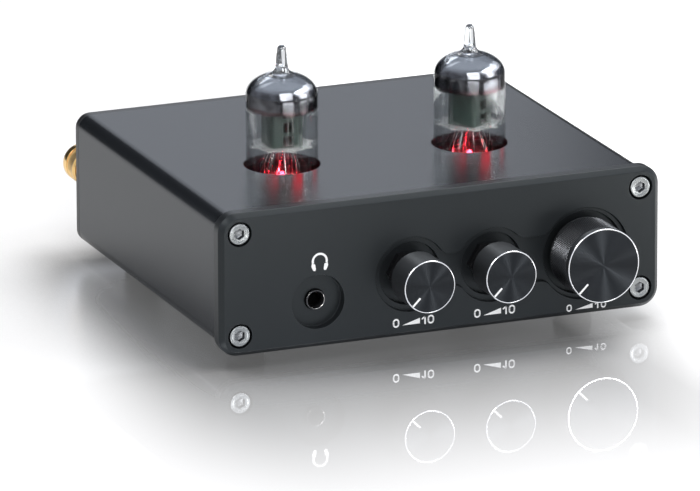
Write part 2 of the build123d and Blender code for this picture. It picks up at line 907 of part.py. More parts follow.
# ------------------------------------------------------------------ tube sockets and their lamps
with BuildPart() as tube_sockets:
    with BuildSketch(Plane.XY.offset(tube_board_top)):
        with Locations(*[(x, tube_y) for x in tube_places]):
            Circle(tube_socket_radius)
            Circle(lamp_radius + lamp_gap, mode=Mode.SUBTRACT)
        with Locations(*contact_places):
            Circle(contact_radius, mode=Mode.SUBTRACT)
    extrude(amount=socket_height)
save(tube_sockets.part, "tube_sockets")

with BuildPart() as socket_contacts:
    with BuildSketch(Plane.XY.offset(tube_board_top)):
        with Locations(*contact_places):
            Circle(contact_radius)
    extrude(amount=socket_height - lamp_gap)
    with BuildSketch(Plane.XY.offset(tube_board_top + contact_floor)):
        with Locations(*contact_places):
            Circle(contact_bore_radius)
    extrude(amount=socket_height, mode=Mode.SUBTRACT)
    with BuildSketch(Plane.XY.offset(tube_board_top)):
        with Locations(*contact_places):
            Circle(contact_tail_radius)
    extrude(amount=-board_thickness - contact_tail)
save(socket_contacts.part, "socket_contacts")

lamp_top = seat - lamp_top_gap
with BuildPart() as tube_lamps:
    with BuildSketch(Plane.XY.offset(lamp_top - lamp_body)):
        with Locations(*[(x, tube_y) for x in tube_places]):
            Circle(lamp_radius)
    extrude(amount=lamp_body)
    fillet(tube_lamps.faces().sort_by(Axis.Z)[-2:].edges(), lamp_radius * 0.8)
    with BuildSketch(Plane.XY.offset(tube_board_bottom)):
        with Locations(*lamp_lead_places):
            Circle(lead_radius)
    extrude(amount=lamp_top - lamp_body - tube_board_bottom)
save(tube_lamps.part, "tube_lamps")


# ------------------------------------------------------------------ tubes
def make_tube(prefix, x, turn):
    """One seven-pin miniature tube standing on its socket, turned about its own axis."""
    axis = Axis((x, tube_y, seat), (0, 0, 1))
    section = Plane(origin=(x, tube_y, seat), x_dir=(1, 0, 0), z_dir=(0, -1, 0))
    turned_x = (math.cos(math.radians(turn)), math.sin(math.radians(turn)), 0)

    def level(height):
        return Plane(origin=(x, tube_y, seat + height), x_dir=turned_x, z_dir=(0, 0, 1))

    inner_radius = bulb_radius - glass_wall
    neck_angle = math.degrees(math.acos(dome_neck_radius / bulb_radius))
    neck_bottom = dome_start + dome_height * math.sin(math.radians(neck_angle))
    bore_angle = math.degrees(math.acos(nipple_bore_radius / inner_radius))
    inner_dome = dome_height - glass_wall
    bore_bottom = dome_start + inner_dome * math.sin(math.radians(bore_angle))
    tip_middle = tube_height - nipple_top_radius
    with BuildPart() as glass:
        with BuildSketch(section):
            with BuildLine():
                Line((stem_radius, stem_thickness), (stem_radius, heel_lift))
                EllipticalCenterArc(
                    (stem_radius, heel_height),
                    bulb_radius - stem_radius,
                    heel_height - heel_lift,
                    start_angle=-90,
                )
                Line((bulb_radius, heel_height), (bulb_radius, dome_start))
                EllipticalCenterArc((0, dome_start), bulb_radius, dome_height, arc_size=neck_angle)
                Spline(
                    (dome_neck_radius, neck_bottom),
                    (nipple_base_radius, neck_top),
                    tangents=((-1, 0.15), (-0.1, 1)),
                )
                Line((nipple_base_radius, neck_top), (nipple_top_radius, tip_middle))
                CenterArc((0, tip_middle), nipple_top_radius, 0, 90)
                Line((0, tube_height), (0, neck_top))
                Line((0, neck_top), (nipple_bore_radius, neck_top))
                Line((nipple_bore_radius, neck_top), (nipple_bore_radius, bore_bottom))
                EllipticalCenterArc((0, dome_start), inner_radius, inner_dome, arc_size=bore_angle)
                Line((inner_radius, dome_start), (inner_radius, stem_thickness + glass_wall))
                Line((inner_radius, stem_thickness + glass_wall), (stem_radius, stem_thickness))
            make_face()
        revolve(axis=axis)
    save(glass.part, f"{prefix}_glass")

    getter_edge_height = upper_mica_height + mica_thickness + getter_gap
    film_radius = inner_radius - getter_thickness
    film_height = inner_dome - getter_thickness
    top = math.radians(getter_top_angle)
    with BuildPart() as getter:
        with BuildSketch(section):
            with BuildLine():
                Line((inner_radius, getter_edge_height), (inner_radius, dome_start))
                EllipticalCenterArc(
                    (0, dome_start), inner_radius, inner_dome, arc_size=getter_top_angle
                )
                Line(
                    (inner_radius * math.cos(top), dome_start + inner_dome * math.sin(top)),
                    (film_radius * math.cos(top), dome_start + film_height * math.sin(top)),
                )
                EllipticalCenterArc(
                    (0, dome_start), film_radius, film_height, arc_size=getter_top_angle
                )
                Line((film_radius, dome_start), (film_radius, getter_edge_height))
                Line((film_radius, getter_edge_height), (inner_radius, getter_edge_height))
            make_face()
        revolve(axis=axis)
    save(getter.part, f"{prefix}_getter")

    with BuildPart() as stem:
        with BuildSketch(level(0)):
            Circle(stem_radius)
            with Locations(*around(0, 0, pin_circle_radius, contact_angles)):
                Circle(pin_radius, mode=Mode.SUBTRACT)
        extrude(amount=stem_thickness)
    save(stem.part, f"{prefix}_stem")

    with BuildPart() as pins:
        with BuildSketch(level(-pin_length)):
            with Locations(*around(0, 0, pin_circle_radius, contact_angles)):
                Circle(pin_radius)
        extrude(amount=pin_length + stem_thickness)
        with BuildSketch(level(stem_thickness)):
            with Locations(*around(0, 0, pin_circle_radius, contact_angles)):
                Circle(lead_radius)
        extrude(amount=lower_mica_height - stem_thickness)
    save(pins.part, f"{prefix}_pins")

    rod_places = [(side * grid_rod_spacing / 2, 0) for side in (-1, 1)]
    support_rod_places = [(side * support_rod_spacing / 2, 0) for side in (-1, 1)]
    with BuildPart() as micas:
        for height in (lower_mica_height, upper_mica_height):
            with BuildSketch(level(height)):
                Circle(mica_radius)
                with PolarLocations(0, 8):
                    with Locations(((mica_radius + mica_tooth_reach) / 2 - mica_tooth_width / 2, 0)):
                        Rectangle(mica_tooth_reach - mica_radius + mica_tooth_width, mica_tooth_width)
                Circle(cathode_radius, mode=Mode.SUBTRACT)
                with Locations(*rod_places):
                    Circle(grid_rod_radius, mode=Mode.SUBTRACT)
                with Locations(*support_rod_places):
                    Circle(support_rod_radius, mode=Mode.SUBTRACT)
            extrude(amount=mica_thickness)
    save(micas.part, f"{prefix}_micas")

    plate_bottom = lower_mica_height + mica_thickness
    plate_height = upper_mica_height - plate_bottom
    with BuildPart() as plate:
        with BuildSketch(level(plate_bottom)):
            RectangleRounded(plate_width, plate_depth, plate_corner)
            RectangleRounded(
                plate_width - 2 * plate_wall,
                plate_depth - 2 * plate_wall,
                plate_corner - plate_wall,
                mode=Mode.SUBTRACT,
            )
        extrude(amount=plate_height)
        for row in (-1, 0, 1):
            middle = plate_bottom + plate_height / 2 + row * window_pitch
            with BuildSketch(level(middle - window_height / 2)):
                Rectangle(window_width, 2 * plate_depth)
            extrude(amount=window_height, mode=Mode.SUBTRACT)
    save(plate.part, f"{prefix}_plate")

    rods_bottom = lower_mica_height - rod_overhang
    rods_height = plate_height + 2 * mica_thickness + 2 * rod_overhang
    with BuildPart() as electrodes:
        with BuildSketch(level(rods_bottom)):
            Circle(cathode_radius)
            with Locations(*rod_places):
                Circle(grid_rod_radius)
            with Locations(*support_rod_places):
                Circle(support_rod_radius)
        extrude(amount=rods_height)
    save(electrodes.part, f"{prefix}_electrodes")


make_tube("left_tube", tube_places[0], left_tube_turn)
make_tube("right_tube", tube_places[1], right_tube_turn)

# ------------------------------------------------------------------ parts on the main board
tube_board_rear = tube_y + tube_board_depth / 2
can_y = block_front - can_rear_gap - can_radius
can_first_x = can_first_inset - board_half_width
can_places = [(can_first_x + index * can_pitch, can_y) for index in range(can_count)]
with BuildPart() as electrolytic_capacitors:
    with BuildSketch(Plane.XY.offset(board_top)):
        with Locations(*can_places):
            Circle(can_radius)
    extrude(amount=can_height)
    with BuildSketch(Plane.XY.offset(board_top + can_bead_lift)):
        with Locations(*can_places):
            Circle(can_radius)
            Circle(can_radius - can_bead, mode=Mode.SUBTRACT)
    extrude(amount=2 * can_bead, mode=Mode.SUBTRACT)
save(electrolytic_capacitors.part, "electrolytic_capacitors")

film_y = tube_board_rear + film_gap + film_depth / 2
film_first_x = film_first_inset - board_half_width
film_places = [(film_first_x + index * film_pitch, film_y) for index in range(film_count)]
with BuildPart() as film_capacitors:
    with BuildSketch(Plane.XY.offset(board_top)):
        with Locations(*film_places):
            RectangleRounded(film_width, film_depth, film_depth / 8)
    extrude(amount=film_height)
save(film_capacitors.part, "film_capacitors")

resistor_axis = board_top + resistor_lift
resistor_xs = [
    tube_offset_x + (index - (resistor_count - 1) / 2) * resistor_pitch
    for index in range(resistor_count)
]
lead_front = tube_y - resistor_lead_span / 2
lead_rear = tube_y + resistor_lead_span / 2
with BuildPart() as resistors:
    with BuildSketch(facing_front(tube_y - resistor_length / 2)):
        with Locations(*[(x, resistor_axis) for x in resistor_xs]):
            Circle(resistor_radius)
    extrude(amount=-resistor_length)
    for x in resistor_xs:
        with BuildLine() as lead:
            FilletPolyline(
                (x, lead_front, board_top),
                (x, lead_front, resistor_axis),
                (x, lead_rear, resistor_axis),
                (x, lead_rear, board_top),
                radius=resistor_bend,
            )
        with BuildSketch(Plane(origin=(x, lead_front, board_top))):
            Circle(resistor_lead_radius)
        sweep(path=lead.line)
save(resistors.part, "resistors")

chip_y = tube_board_rear + chip_gap + chip_width / 2
chip_places = [(chip_first_x + index * chip_spacing, chip_y) for index in range(chip_count)]
leg_places = [
    (x + (index - 1.5) * chip_pitch, y + side * (chip_width + chip_leg_thickness) / 2)
    for x, y in chip_places
    for index in range(4)
    for side in (-1, 1)
]
with BuildPart() as chips:
    with BuildSketch(Plane.XY.offset(board_top + chip_lift)):
        with Locations(*chip_places):
            Rectangle(chip_length, chip_width)
    extrude(amount=chip_height)
    with BuildSketch(Plane.XY.offset(board_top)):
        with Locations(*leg_places):
            Rectangle(chip_leg_width, chip_leg_thickness)
    extrude(amount=chip_lift + chip_height / 2)
save(chips.part, "chips")

regulator_x = board_half_width - regulator_inset
regulator_y = tube_board_rear + regulator_gap
regulator_bottom = board_top + regulator_lift
tab_rear = regulator_y + regulator_body_depth / 2 + regulator_tab_depth
tab_hole = regulator_bottom + regulator_tab_height - 2 * regulator_hole_radius
with BuildPart() as voltage_regulator:
    with BuildSketch(Plane.XY.offset(regulator_bottom)):
        with Locations((regulator_x, regulator_y)):
            Rectangle(regulator_width, regulator_body_depth)
    extrude(amount=regulator_body_height)
    with BuildSketch(Plane.XY.offset(regulator_bottom)):
        with Locations((regulator_x, tab_rear - regulator_tab_depth / 2)):
            Rectangle(regulator_width, regulator_tab_depth)
    extrude(amount=regulator_tab_height)
    with BuildSketch(facing_front(tab_rear)):
        with Locations((regulator_x, tab_hole)):
            Circle(regulator_hole_radius)
    extrude(amount=2 * regulator_tab_depth, mode=Mode.SUBTRACT)
    with BuildSketch(Plane.XY.offset(board_top)):
        with Locations(*[(regulator_x + step * chip_pitch, regulator_y) for step in (-1, 0, 1)]):
            Rectangle(regulator_lead_width, regulator_lead_width / 2)
    extrude(amount=regulator_lift)
save(voltage_regulator.part, "voltage_regulator")
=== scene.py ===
"""Visual model of a desktop tube phono preamplifier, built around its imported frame.

Laid out as a Blender add-on and run as a script. Metres, +Z up, the front panel faces -Y. The
property groups hold the sizes and colours that a user would change, one operator makes each piece
or group of like pieces, and one makes the stage.
"""
import json
import math

import bmesh
import bpy
from bpy.props import FloatProperty, FloatVectorProperty, IntProperty, PointerProperty
from mathutils import Matrix, Vector


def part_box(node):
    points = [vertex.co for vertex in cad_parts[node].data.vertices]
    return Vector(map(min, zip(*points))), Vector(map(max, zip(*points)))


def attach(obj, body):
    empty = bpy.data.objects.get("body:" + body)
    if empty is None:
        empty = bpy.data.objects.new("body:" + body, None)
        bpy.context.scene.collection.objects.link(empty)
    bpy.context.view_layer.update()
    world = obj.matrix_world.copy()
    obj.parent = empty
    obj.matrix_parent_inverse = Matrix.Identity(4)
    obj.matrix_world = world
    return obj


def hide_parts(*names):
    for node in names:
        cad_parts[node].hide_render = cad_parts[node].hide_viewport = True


bl_info = {
    "name": "Tube Phono Preamplifier",
    "version": (1, 0, 0),
    "blender": (4, 5, 0),
    "location": "View3D > Sidebar > Preamp",
    "description": "Builds a small tube phono preamplifier with its controls, tubes and sockets",
    "category": "Add Mesh",
}

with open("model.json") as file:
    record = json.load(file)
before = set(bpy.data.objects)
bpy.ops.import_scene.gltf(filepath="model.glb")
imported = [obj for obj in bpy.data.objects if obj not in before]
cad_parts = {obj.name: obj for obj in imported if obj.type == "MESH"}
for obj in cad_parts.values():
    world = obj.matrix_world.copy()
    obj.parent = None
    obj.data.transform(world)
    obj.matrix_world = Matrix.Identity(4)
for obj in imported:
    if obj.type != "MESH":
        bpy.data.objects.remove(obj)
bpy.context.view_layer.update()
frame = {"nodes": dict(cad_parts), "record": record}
MM = 0.001
SLOT_OF = {part["node"]: part["material_slot"] for part in frame["record"]["subparts"]}


def centre_of(node):
    """Middle of a CAD node's box."""
    low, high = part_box(node)
    return (low + high) / 2


# ------------------------------------------------------------------ places taken from the frame
PANEL_LOW, PANEL_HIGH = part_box("front_panel")
SLEEVE_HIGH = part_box("chassis_sleeve")[1]
FRONT_FACE = PANEL_LOW.y
REAR_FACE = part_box("rear_panel")[1].y


def mirror_places(node, radius):
    """Centres (x, z) of four like pieces whose outer edges touch a node's box."""
    low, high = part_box(node)
    xs = (low.x + radius, high.x - radius)
    zs = (low.z + radius, high.z - radius)
    return [(x, z) for x in xs for z in zs]


# ------------------------------------------------------------------ sizes and colours
class PreampCaseSettings(bpy.types.PropertyGroup):
    """Edges, screws, feet and colours of the case."""

    edge_break: FloatProperty(
        name="Edge break", description="Width of the broken edges of the case and its panels",
        default=0.14 * MM, unit="LENGTH", precision=5,
    )
    screw_head_radius: FloatProperty(
        name="Screw head radius", description="Radius of the panel screws' heads",
        default=2.75 * MM, unit="LENGTH", precision=5,
    )
    screw_key_across: FloatProperty(
        name="Screw key", description="Width across the flats of the screws' hexagon",
        default=2.5 * MM, unit="LENGTH", precision=5,
    )
    foot_round: FloatProperty(
        name="Foot rounding", description="Radius of the lower edge of a rubber foot",
        default=0.9 * MM, unit="LENGTH", precision=5,
    )
    sleeve_color: FloatVectorProperty(
        name="Sleeve", description="Colour of the anodised sleeve", subtype="COLOR",
        default=(0.0095, 0.0110, 0.0135),
    )
    panel_color: FloatVectorProperty(
        name="Front panel", description="Colour of the anodised front panel", subtype="COLOR",
        default=(0.0105, 0.0120, 0.0135),
    )
    print_color: FloatVectorProperty(
        name="Print", description="Colour of the printed marks", subtype="COLOR",
        default=(0.93, 0.93, 0.93),
    )


class PreampControlSettings(bpy.types.PropertyGroup):
    """Knobs and the headphone socket."""

    rim_width: FloatProperty(
        name="Bright rim", description="Width of the bright cut rim round a knob's face",
        default=0.21 * MM, unit="LENGTH", precision=5,
    )
    pointer_width: FloatProperty(
        name="Pointer width", description="Width of the white line on a knob's face",
        default=0.52 * MM, unit="LENGTH", precision=5,
    )
    knurl_count: IntProperty(
        name="Knurl count", description="Diamonds round the volume knob", default=76, min=12,
    )
    knurl_depth: FloatProperty(
        name="Knurl depth", description="Depth of the volume knob's diamonds",
        default=0.34 * MM, unit="LENGTH", precision=5,
    )
    knurl_start: FloatProperty(
        name="Knurl start", description="Plain band between the volume knob's face and its knurl",
        default=1.9 * MM, unit="LENGTH", precision=5,
    )
    knob_color: FloatVectorProperty(
        name="Knob", description="Colour of the spun knobs", subtype="COLOR",
        default=(0.019, 0.021, 0.0235),
    )


class PreampTubeSettings(bpy.types.PropertyGroup):
    """Tubes and the lamps under them."""

    bulb_radius: FloatProperty(
        name="Bulb radius", description="Outer radius of the glass bulbs",
        default=9.25 * MM, unit="LENGTH", precision=5,
    )
    glass_wall: FloatProperty(
        name="Glass wall", description="Thickness of the glass",
        default=0.35 * MM, unit="LENGTH", precision=5,
    )
    wire_radius: FloatProperty(
        name="Grid wire", description="Radius of the grid windings",
        default=0.05 * MM, unit="LENGTH", precision=6,
    )
    lamp_color: FloatVectorProperty(
        name="Lamp", description="Colour of the lamps under the tubes", subtype="COLOR",
        default=(1.0, 0.022, 0.045),
    )
    lamp_glow: FloatProperty(
        name="Lamp glow", description="Emission strength of the lamps", default=4.5, min=0.0,
    )
    lamp_power: FloatProperty(
        name="Lamp light", description="Light that each lamp throws into its tube",
        default=0.0035, min=0.0, unit="POWER", precision=4,
    )
    plate_color: FloatVectorProperty(
        name="Plate", description="Colour of the plates", subtype="COLOR",
        default=(0.012, 0.022, 0.018),
    )


class PreampTerminalSettings(bpy.types.PropertyGroup):
    """Sockets and the ground terminal at the back."""

    shell_lip: FloatProperty(
        name="Shell lip", description="Rounding of a phono shell's open end",
        default=0.2 * MM, unit="LENGTH", precision=5,
    )
    nut_knurl_count: IntProperty(
        name="Nut knurl", description="Ribs round the ground nut", default=64, min=12,
    )
    nut_knurl_depth: FloatProperty(
        name="Nut knurl depth", description="Depth of the ground nut's ribs",
        default=0.14 * MM, unit="LENGTH", precision=5,
    )
    gold_color: FloatVectorProperty(
        name="Gold", description="Colour of the plated ground terminal", subtype="COLOR",
        default=(0.83, 0.56, 0.23),
    )


class PreampStageSettings(bpy.types.PropertyGroup):
    """Camera, floor and lights."""

    azimuth: FloatProperty(
        name="Azimuth", description="Direction the camera looks, from +Y towards +X",
        default=math.radians(22.131), subtype="ANGLE",
    )
    elevation: FloatProperty(
        name="Elevation", description="Angle the camera looks down",
        default=math.radians(16.709), subtype="ANGLE",
    )
    roll: FloatProperty(
        name="Roll", description="Turn of the camera about its own axis",
        default=math.radians(-0.139), subtype="ANGLE",
    )
    distance: FloatProperty(
        name="Distance", description="From the camera to the point it looks at",
        default=2.367, unit="LENGTH",
    )
    lens: FloatProperty(
        name="Lens", description="Focal length on a 36 mm wide sensor, in millimetres",
        default=473.89,
    )
    floor_color: FloatVectorProperty(
        name="Floor", description="Colour of the floor", subtype="COLOR",
        default=(0.80, 0.80, 0.81),
    )
    fill: FloatProperty(
        name="Fill", description="Strength of the world for diffuse light", default=0.34,
    )
    key: FloatProperty(
        name="Key", description="Radiance of the overhead softbox", default=5.0,
    )
    polish_left: FloatProperty(
        name="Polish beside", description="How far the floor's polish reaches to the left",
        default=0.028, unit="LENGTH", precision=4,
    )
    polish_ahead: FloatProperty(
        name="Polish ahead", description="How far the floor's polish reaches to the front",
        default=0.142, unit="LENGTH", precision=4,
    )


# ------------------------------------------------------------------ shader wiring
class Wiring:
    """Adds nodes to a tree and links them, so that a material reads as a list of steps."""

    def __init__(self, tree):
        self.tree = tree
        self.count = 0
        tree.nodes.clear()

    def add(self, kind, sockets=None, **settings):
        """A new node. A socket's value is linked if it is another node's output."""
        node = self.tree.nodes.new(kind)
        node.location = (self.count % 6 * 240, -(self.count // 6) * 360)
        self.count += 1
        for name, value in settings.items():
            setattr(node, name, value)
        for name, value in (sockets or {}).items():
            self.feed(node.inputs[name], value)
        return node

    def feed(self, socket, value):
        if isinstance(value, bpy.types.NodeSocket):
            self.tree.links.new(value, socket)
        elif socket.type == "RGBA" and len(value) == 3:
            socket.default_value = (*value, 1.0)
        else:
            socket.default_value = value

    def math(self, operation, first, second=0.0, third=0.0, clamp=False):
        sockets = {0: first, 1: second}
        if operation in ("MULTIPLY_ADD", "SMOOTH_MIN", "WRAP", "COMPARE"):
            sockets[2] = third
        node = self.add("ShaderNodeMath", sockets, operation=operation, use_clamp=clamp)
        return node.outputs[0]

    def ramp(self, value, low, high, to_low=0.0, to_high=1.0, smooth=True):
        """value mapped from low..high to to_low..to_high, and held at the ends."""
        sockets = {
            "Value": value, "From Min": low, "From Max": high, "To Min": to_low,
            "To Max": to_high,
        }
        kind = "SMOOTHSTEP" if smooth else "LINEAR"
        return self.add("ShaderNodeMapRange", sockets, interpolation_type=kind).outputs["Result"]

    def mix(self, factor, first, second):
        node = self.add("ShaderNodeMix", {0: factor, 6: first, 7: second}, data_type="RGBA")
        return node.outputs[2]

    def noise(self, vector, scale, detail=2.0, roughness=0.5):
        node = self.add(
            "ShaderNodeTexNoise",
            {"Vector": vector, "Scale": scale, "Detail": detail, "Roughness": roughness},
        )
        return node.outputs["Fac"]

    def place(self):
        return self.add("ShaderNodeTexCoord").outputs["Object"]

    def group(self, name, sockets):
        """A node of one of the shader node groups, and what comes out of it."""
        node = self.add("ShaderNodeGroup", node_tree=groups(name))
        for title, value in sockets.items():
            self.feed(node.inputs[title], value)
        return node.outputs

    def toned(self, place, color, scale, amount):
        """A colour that drifts slowly."""
        sockets = {"Vector": place, "Color": color, "Scale": scale, "Amount": amount}
        return self.group("tone", sockets)["Color"]

    def grained(self, place, scale, stretch=(1.0, 1.0, 1.0)):
        return self.group("grain", {"Vector": place, "Stretch": stretch, "Scale": scale})

    def bump(self, height, strength, depth):
        """Normals raised by a height, with its depth in millimetres."""
        sockets = {"Height": height, "Strength": strength, "Distance": depth * MM}
        return self.add("ShaderNodeBump", sockets).outputs[0]

    def principled(self, sockets):
        """Closes a material with one principled shader."""
        finish_output(self, self.add("ShaderNodeBsdfPrincipled", sockets))

    def seen_rays(self):
        """The light path, and 1 for rays that see straight, mirrored or through glass."""
        path = self.add("ShaderNodeLightPath").outputs
        seen = self.math("ADD", path["Is Camera Ray"], path["Is Glossy Ray"])
        return path, self.math("ADD", seen, path["Is Transmission Ray"], clamp=True)


KINDS = {"vector": "NodeSocketVector", "value": "NodeSocketFloat", "color": "NodeSocketColor"}


def shader_group(name, inputs, outputs):
    """An empty shader node group with named sockets, given as (name, kind) pairs."""
    tree = bpy.data.node_groups.new(name, "ShaderNodeTree")
    for title, kind in inputs:
        tree.interface.new_socket(name=title, in_out="INPUT", socket_type=KINDS[kind])
    for title, kind in outputs:
        tree.interface.new_socket(name=title, in_out="OUTPUT", socket_type=KINDS[kind])
    wiring = Wiring(tree)
    given = wiring.add("NodeGroupInput").outputs
    result = wiring.add("NodeGroupOutput").inputs
    return tree, wiring, given, result


def make_grain_group():
    """Fine grain, stretched along an axis for brushed and turned metal."""
    tree, w, given, result = shader_group(
        "Fine Grain",
        [("Vector", "vector"), ("Stretch", "vector"), ("Scale", "value")],
        [("Height", "value"), ("Mask", "value")],
    )
    stretched = w.add(
        "ShaderNodeVectorMath", {0: given["Vector"], 1: given["Stretch"]}, operation="MULTIPLY"
    )
    fine = w.noise(stretched.outputs[0], given["Scale"], 3.0, 0.65)
    coarse_scale = w.math("MULTIPLY", given["Scale"], 0.23)
    coarse = w.noise(stretched.outputs[0], coarse_scale, 2.0)
    height = w.math("MULTIPLY_ADD", coarse, 0.4, fine)
    w.feed(result["Height"], height)
    w.feed(result["Mask"], w.ramp(coarse, 0.35, 0.65))
    return tree


def make_tone_group():
    """Slow drift of a colour, as between batches of dye or along a casting."""
    tree, w, given, result = shader_group(
        "Tone Drift",
        [("Vector", "vector"), ("Color", "color"), ("Scale", "value"), ("Amount", "value")],
        [("Color", "color")],
    )
    cloud = w.noise(given["Vector"], given["Scale"], 4.0, 0.6)
    drift = w.ramp(cloud, 0.3, 0.7, -1.0, 1.0)
    gain = w.math("MULTIPLY_ADD", drift, given["Amount"], 1.0)
    tinted = w.add("ShaderNodeVectorMath", {0: given["Color"]}, operation="SCALE")
    w.feed(tinted.inputs["Scale"], gain)
    w.feed(result["Color"], tinted.outputs[0])
    return tree


def make_worn_and_highlit_edge_group():
    """Brighter colour along sharp edges: partly edges that handling has polished, partly a painted
    highlight where a chamfer would catch the light.
    """
    tree, w, given, result = shader_group(
        "Edge Wear",
        [("Vector", "vector"), ("Color", "color"), ("Edge Color", "color"),
         ("Radius", "value"), ("Amount", "value")],
        [("Color", "color")],
    )
    rounded = w.add("ShaderNodeBevel", {"Radius": given["Radius"]}, samples=4)
    flat = w.add("ShaderNodeNewGeometry").outputs["Normal"]
    facing = w.add(
        "ShaderNodeVectorMath", {0: rounded.outputs[0], 1: flat}, operation="DOT_PRODUCT"
    ).outputs["Value"]
    edge = w.ramp(facing, 0.995, 0.93)
    patchy = w.ramp(w.noise(given["Vector"], 900.0, 3.0), 0.3, 0.6, 0.35, 1.0)
    # This mask paints both the worn edge and a highlight along it.
    mask = w.math("MULTIPLY", w.math("MULTIPLY", edge, patchy), given["Amount"], clamp=True)
    w.feed(result["Color"], w.mix(mask, given["Color"], given["Edge Color"]))
    return tree


def make_rings_group():
    """Turning marks: fine rings round a piece's own Y axis."""
    tree, w, given, result = shader_group(
        "Turning Rings", [("Vector", "vector"), ("Pitch", "value")], [("Height", "value")]
    )
    parts = w.add("ShaderNodeSeparateXYZ", {0: given["Vector"]}).outputs
    squared = w.math("MULTIPLY", parts["Z"], parts["Z"])
    squared = w.math("MULTIPLY_ADD", parts["X"], parts["X"], squared)
    radius = w.math("SQRT", squared)
    turns = w.math("DIVIDE", radius, given["Pitch"])
    line = w.add("ShaderNodeCombineXYZ", {0: turns})
    w.feed(result["Height"], w.noise(line.outputs[0], 1.0, 3.0, 0.7))
    return tree


GROUPS = {}


def groups(name):
    """A shader node group, built the first time that a material asks for it."""
    if name not in GROUPS:
        makers = {
            "grain": make_grain_group, "tone": make_tone_group,
            "edge": make_worn_and_highlit_edge_group, "rings": make_rings_group,
        }
        GROUPS[name] = makers[name]()
    return GROUPS[name]


# ------------------------------------------------------------------ materials
FINISHES = {}


def new_material(name):
    """An empty material, kept in FINISHES under its name, and the wiring of its nodes."""
    material = bpy.data.materials.new(name)
    material.use_nodes = True
    FINISHES[name] = material
    return material, Wiring(material.node_tree)


def finish_output(w, shader):
    w.add("ShaderNodeOutputMaterial", {"Surface": shader.outputs[0]})


def surface(name, color, roughness, metallic=0.0, grain=2500.0, stretch=(1.0, 1.0, 1.0),
            bump=0.15, depth=0.02, rough_drift=0.08, tone=0.06, tone_scale=60.0,
            edge=0.0, worn_and_highlit_edge_color=(0.5, 0.5, 0.5), edge_radius=0.15, **shader_sockets):
    """The usual finish: a colour that drifts, a fine grain, and brighter edges, partly polished by
    handling and partly a painted highlight.

    depth and edge_radius are in millimetres, and the scales are per metre.
    """
    w = new_material(name)[1]
    place = w.place()
    base = w.toned(place, color, tone_scale, tone)
    grained = w.grained(place, grain, stretch)
    rough = w.math("MULTIPLY_ADD", grained["Mask"], rough_drift, roughness - rough_drift / 2)
    # Brighter edges: partly wear, partly a painted highlight.
    if edge > 0:
        base = w.group("edge", {
            "Vector": place, "Color": base, "Edge Color": worn_and_highlit_edge_color,
            "Radius": edge_radius * MM, "Amount": edge})["Color"]
    w.principled({
        "Base Color": base, "Roughness": rough, "Metallic": metallic,
        "Normal": w.bump(grained["Height"], bump, depth), **shader_sockets})


RING_PITCH = 0.12 * MM


def spun_surface(name, color, roughness, metallic, anisotropy, bump=0.25):
    """Metal turned in a lathe: fine rings, and highlights that fan out from the centre."""
    w = new_material(name)[1]
    place = w.place()
    height = w.group("rings", {"Vector": place, "Pitch": RING_PITCH})["Height"]
    tangent = w.add("ShaderNodeTangent", direction_type="RADIAL", axis="Y")
    w.principled({
        "Base Color": w.toned(place, color, 150.0, 0.05),
        "Roughness": w.math("MULTIPLY_ADD", height, 0.12, roughness - 0.06), "Metallic": metallic,
        "Anisotropic": anisotropy, "Anisotropic Rotation": 0.25,
        "Normal": w.bump(height, bump, 0.01), "Tangent": tangent.outputs[0]})


def glass_surface(name, tint, ior, clearness):
    """Blown glass: faint drawing streaks along the bulb, clear to the light inside it."""
    w = new_material(name)[1]
    place = w.place()
    streaks = w.grained(place, 260.0, (1.0, 1.0, 0.18))["Height"]
    glass = w.add("ShaderNodeBsdfPrincipled", {
        "Base Color": w.toned(place, tint, 90.0, 0.01), "Roughness": 0.012, "IOR": ior,
        "Transmission Weight": 1.0, "Normal": w.bump(streaks, 0.06, 0.05)})
    clear = w.add("ShaderNodeBsdfTransparent", {"Color": (0.96, 0.97, 0.97)})
    shadow = w.add("ShaderNodeLightPath").outputs["Is Shadow Ray"]
    thin = w.math("MAXIMUM", shadow, clearness)
    finish_output(w, w.add(
        "ShaderNodeMixShader", {0: thin, 1: glass.outputs[0], 2: clear.outputs[0]}))


def getter_surface(name, edge_height, fade):
    """Silvery film that thins out to a brown haze at its lower edge."""
    w = new_material(name)[1]
    place = w.place()
    height = w.add("ShaderNodeSeparateXYZ", {0: place}).outputs["Z"]
    cloud = w.noise(place, 220.0, 4.0, 0.6)
    ragged = w.math("MULTIPLY_ADD", w.math("SUBTRACT", cloud, 0.5), 1.4 * fade, height)
    cover = w.ramp(ragged, edge_height, edge_height + fade)
    silver = w.ramp(ragged, edge_height + 0.4 * fade, edge_height + 2.2 * fade)
    # Painted shade and sheen: the film's wall is painted dark and mottled, and its shoulder light,
    # for the dark and bright surroundings that the mirror shows.
    mottle = w.ramp(w.noise(place, 520.0, 3.0, 0.6), 0.38, 0.62)
    painted_dark_wall = w.mix(mottle, (0.050, 0.050, 0.055), (0.100, 0.102, 0.112))
    shoulder = w.ramp(height, edge_height + 5.4 * MM, edge_height + 7.2 * MM)
    film = w.mix(shoulder, painted_dark_wall, (0.30, 0.315, 0.345))
    w.principled({
        "Base Color": w.mix(silver, (0.085, 0.052, 0.058), film),
        "Roughness": w.ramp(cloud, 0.35, 0.7, 0.05, 0.13), "Metallic": 1.0,
        "Alpha": w.math("MULTIPLY", cover, w.ramp(silver, 0.0, 1.0, 0.72, 1.0)),
        "Specular Tint": (0.05, 0.05, 0.06, 1.0),
        "Normal": w.bump(w.grained(place, 700.0)["Height"], 0.10, 0.03)})


